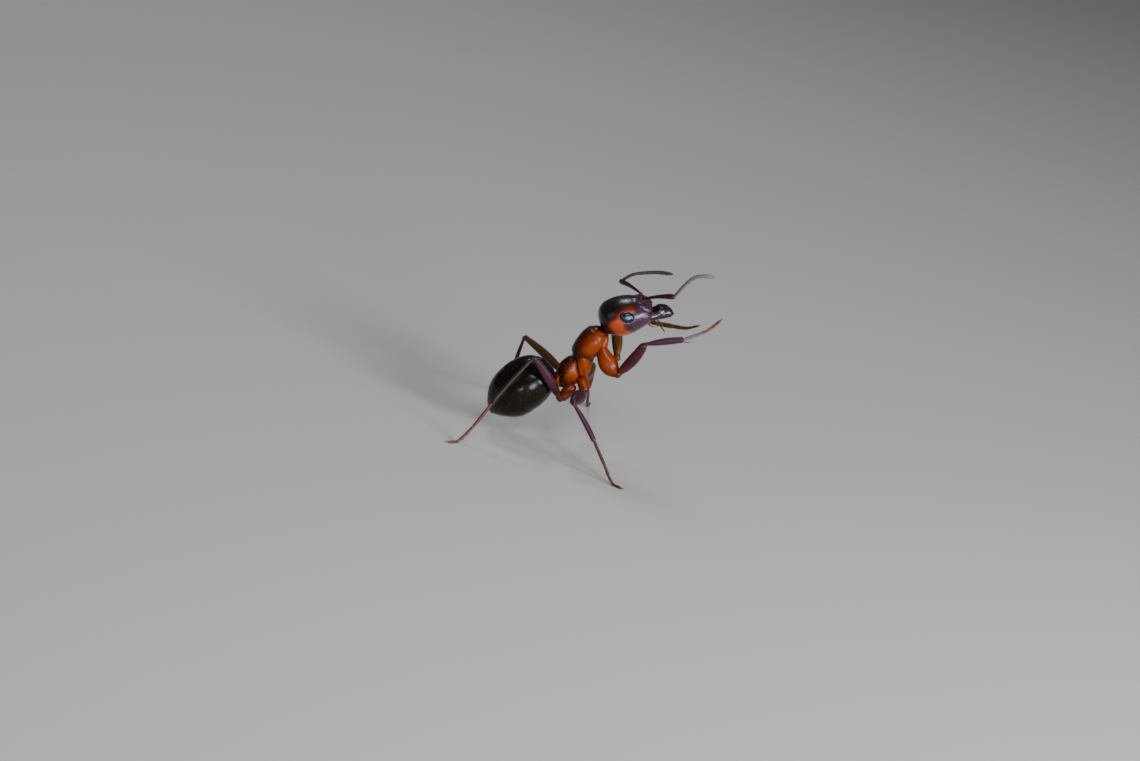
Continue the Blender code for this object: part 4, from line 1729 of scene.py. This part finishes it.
def bristle_tree():
    """Grows bristles on a skin. The skin's "hairy" attribute thins them out, "lie" is the way they
    lean and "unwrap" the skin's own unwrap, at which each bristle's small patch of OFBake lies."""
    group, start, end = group_of(
        "bristles",
        Gap="Float",
        Length="Float",
        Thickness="Float",
        Lean="Float",
        Bend="Float",
        Seed="Int",
        Finish="Material",
    )
    gap, length = start.outputs["Gap"], start.outputs["Length"]
    thickness, seed = start.outputs["Thickness"], start.outputs["Seed"]

    def vector(operation, *values, **named_values):
        made = node(group, "ShaderNodeVectorMath", {"operation": operation}, **named_values)
        for socket, value in zip(made.inputs, values):
            feed(group, socket, value)
        return made.outputs["Vector"]

    def height(spot):
        return node(group, "ShaderNodeSeparateXYZ", Vector=spot).outputs["Z"]

    lie = named(group, "lie", "FLOAT_VECTOR")
    crowd = maths(group, "DIVIDE", CROWDING, maths(group, "MULTIPLY", gap, gap))
    pores = node(
        group,
        "GeometryNodeDistributePointsOnFaces",
        {"distribute_method": "POISSON"},
        Mesh=start.outputs["Geometry"],
        Distance_Min=gap,
        Density_Max=crowd,
        Density_Factor=named(group, "hairy"),
        Seed=seed,
    )
    spot = named(group, "unwrap", "FLOAT_VECTOR")
    roots = stored(group, pores.outputs["Points"], "root_spot", spot, "FLOAT_VECTOR")

    needle = output(
        group,
        "GeometryNodeMeshCone",
        {"fill_type": "NONE"},
        Vertices=3,
        Side_Segments=3,
        Radius_Top=0.12,
        Radius_Bottom=1.0,
        Depth=1.0,
    )
    place = output(group, "GeometryNodeInputPosition")
    marked = stored(group, needle, "needle_spot", place, "FLOAT_VECTOR")
    bow = maths(group, "MULTIPLY", height(place), height(place))
    bow = maths(group, "MULTIPLY", bow, start.outputs["Bend"])
    bow = maths(group, "MULTIPLY", bow, maths(group, "DIVIDE", length, thickness))
    offset = output(group, "ShaderNodeCombineXYZ", X=bow)
    bent = output(group, "GeometryNodeSetPosition", Geometry=marked, Offset=offset)

    toss = node(group, "FunctionNodeRandomValue", {"data_type": "FLOAT_VECTOR"}, Seed=seed)
    toss.inputs[0].default_value = (-SWAY, -SWAY, -SWAY)
    toss.inputs[1].default_value = (SWAY, SWAY, SWAY)
    leaning = vector("SCALE", lie, Scale=start.outputs["Lean"])
    heading_out = vector("ADD", pores.outputs["Normal"], leaning)
    way = vector("NORMALIZE", vector("ADD", heading_out, toss.outputs[0]))
    upright = output(group, "FunctionNodeAlignRotationToVector", {"axis": "Z"}, Vector=way)
    turned = output(
        group,
        "FunctionNodeAlignRotationToVector",
        {"axis": "X", "pivot_axis": "Z"},
        Rotation=upright,
        Vector=lie,
    )
    stretch = node(group, "FunctionNodeRandomValue", {"data_type": "FLOAT"}, Seed=seed)
    stretch.inputs[2].default_value, stretch.inputs[3].default_value = SHORTEST, LONGEST
    reach = maths(group, "MULTIPLY", length, stretch.outputs[1])
    tip = maths(group, "ADD", height(place), maths(group, "MULTIPLY", height(way), reach))
    clear = node(group, "FunctionNodeCompare", {"operation": "GREATER_THAN"})
    feed(group, clear.inputs[0], tip)
    feed(group, clear.inputs[1], FLOOR_GAP)
    planted = output(
        group,
        "GeometryNodeInstanceOnPoints",
        Points=roots,
        Selection=clear.outputs["Result"],
        Instance=bent,
        Rotation=turned,
        Scale=output(group, "ShaderNodeCombineXYZ", X=thickness, Y=thickness, Z=reach),
    )
    real = output(group, "GeometryNodeRealizeInstances", Geometry=planted)
    patch = vector("SCALE", named(group, "needle_spot", "FLOAT_VECTOR"), Scale=PATCH_SIZE)
    spot = vector("ADD", named(group, "root_spot", "FLOAT_VECTOR"), patch)
    bare = stored(group, real, "OFBake", spot, "FLOAT2", "CORNER")
    for label in ("unwrap", "root_spot", "needle_spot", "hairy", "lie", "dark", "tint"):
        bare = output(group, "GeometryNodeRemoveAttribute", Geometry=bare, Name=label)
    return close(group, start, end, bare)


bristle_finish = cuticle(
    "bristle", (BRISTLE_GOLD, BRISTLE_GOLD), roughness=0.45, relief=0.0, clouding=0.0
)
# where they grow, their gap, length and half thickness in millimetres, lean, bend and slot
COATS = (
    ("gaster_plates", 0.080, 0.105, 0.0026, 1.3, 0.18, "black_shell"),
    ("acid_nozzle", 0.020, 0.090, 0.0026, 0.8, 0.10, "black_shell"),
    ("trunk_collar", 0.100, 0.095, 0.0040, 0.4, 0.15, "red_shell"),
    ("trunk_rear", 0.100, 0.095, 0.0040, 0.4, 0.15, "red_shell"),
    ("waist_scale", 0.080, 0.090, 0.0040, 0.4, 0.15, "red_shell"),
    ("head_capsule", 0.110, 0.080, 0.0035, 0.7, 0.18, "head_shell"),
    ("mandible_", 0.070, 0.060, 0.0035, 1.2, 0.20, "leg_shell"),
    ("antenna_scape_", 0.048, 0.038, 0.0028, 1.6, 0.15, "leg_shell"),
    ("antenna_whip_", 0.026, 0.026, 0.0022, 1.4, 0.15, "leg_shell"),
    ("thigh_", 0.065, 0.060, 0.0032, 1.3, 0.18, "leg_shell"),
    ("shin_", 0.055, 0.065, 0.0032, 1.6, 0.15, "leg_shell"),
    ("foot_", 0.040, 0.055, 0.0030, 1.5, 0.12, "leg_shell"),
)
bristles = bristle_tree()
skins = sorted(bpy.context.scene.objects, key=lambda piece: piece.name)
for start_of_name, gap, length, thickness, lean, bend, slot in COATS:
    for number, skin in enumerate(s for s in skins if s.name.startswith(start_of_name)):
        if "hairy" not in getattr(skin.data, "attributes", ()):
            continue
        coat = grown(
            "bristles_" + skin.name,
            skin.data.copy(),
            bristles,
            Gap=gap * MM,
            Length=length * MM,
            Thickness=thickness * MM,
            Lean=lean,
            Bend=bend,
            Seed=number,
            Finish=bristle_finish,
        )
        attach(coat, "root")
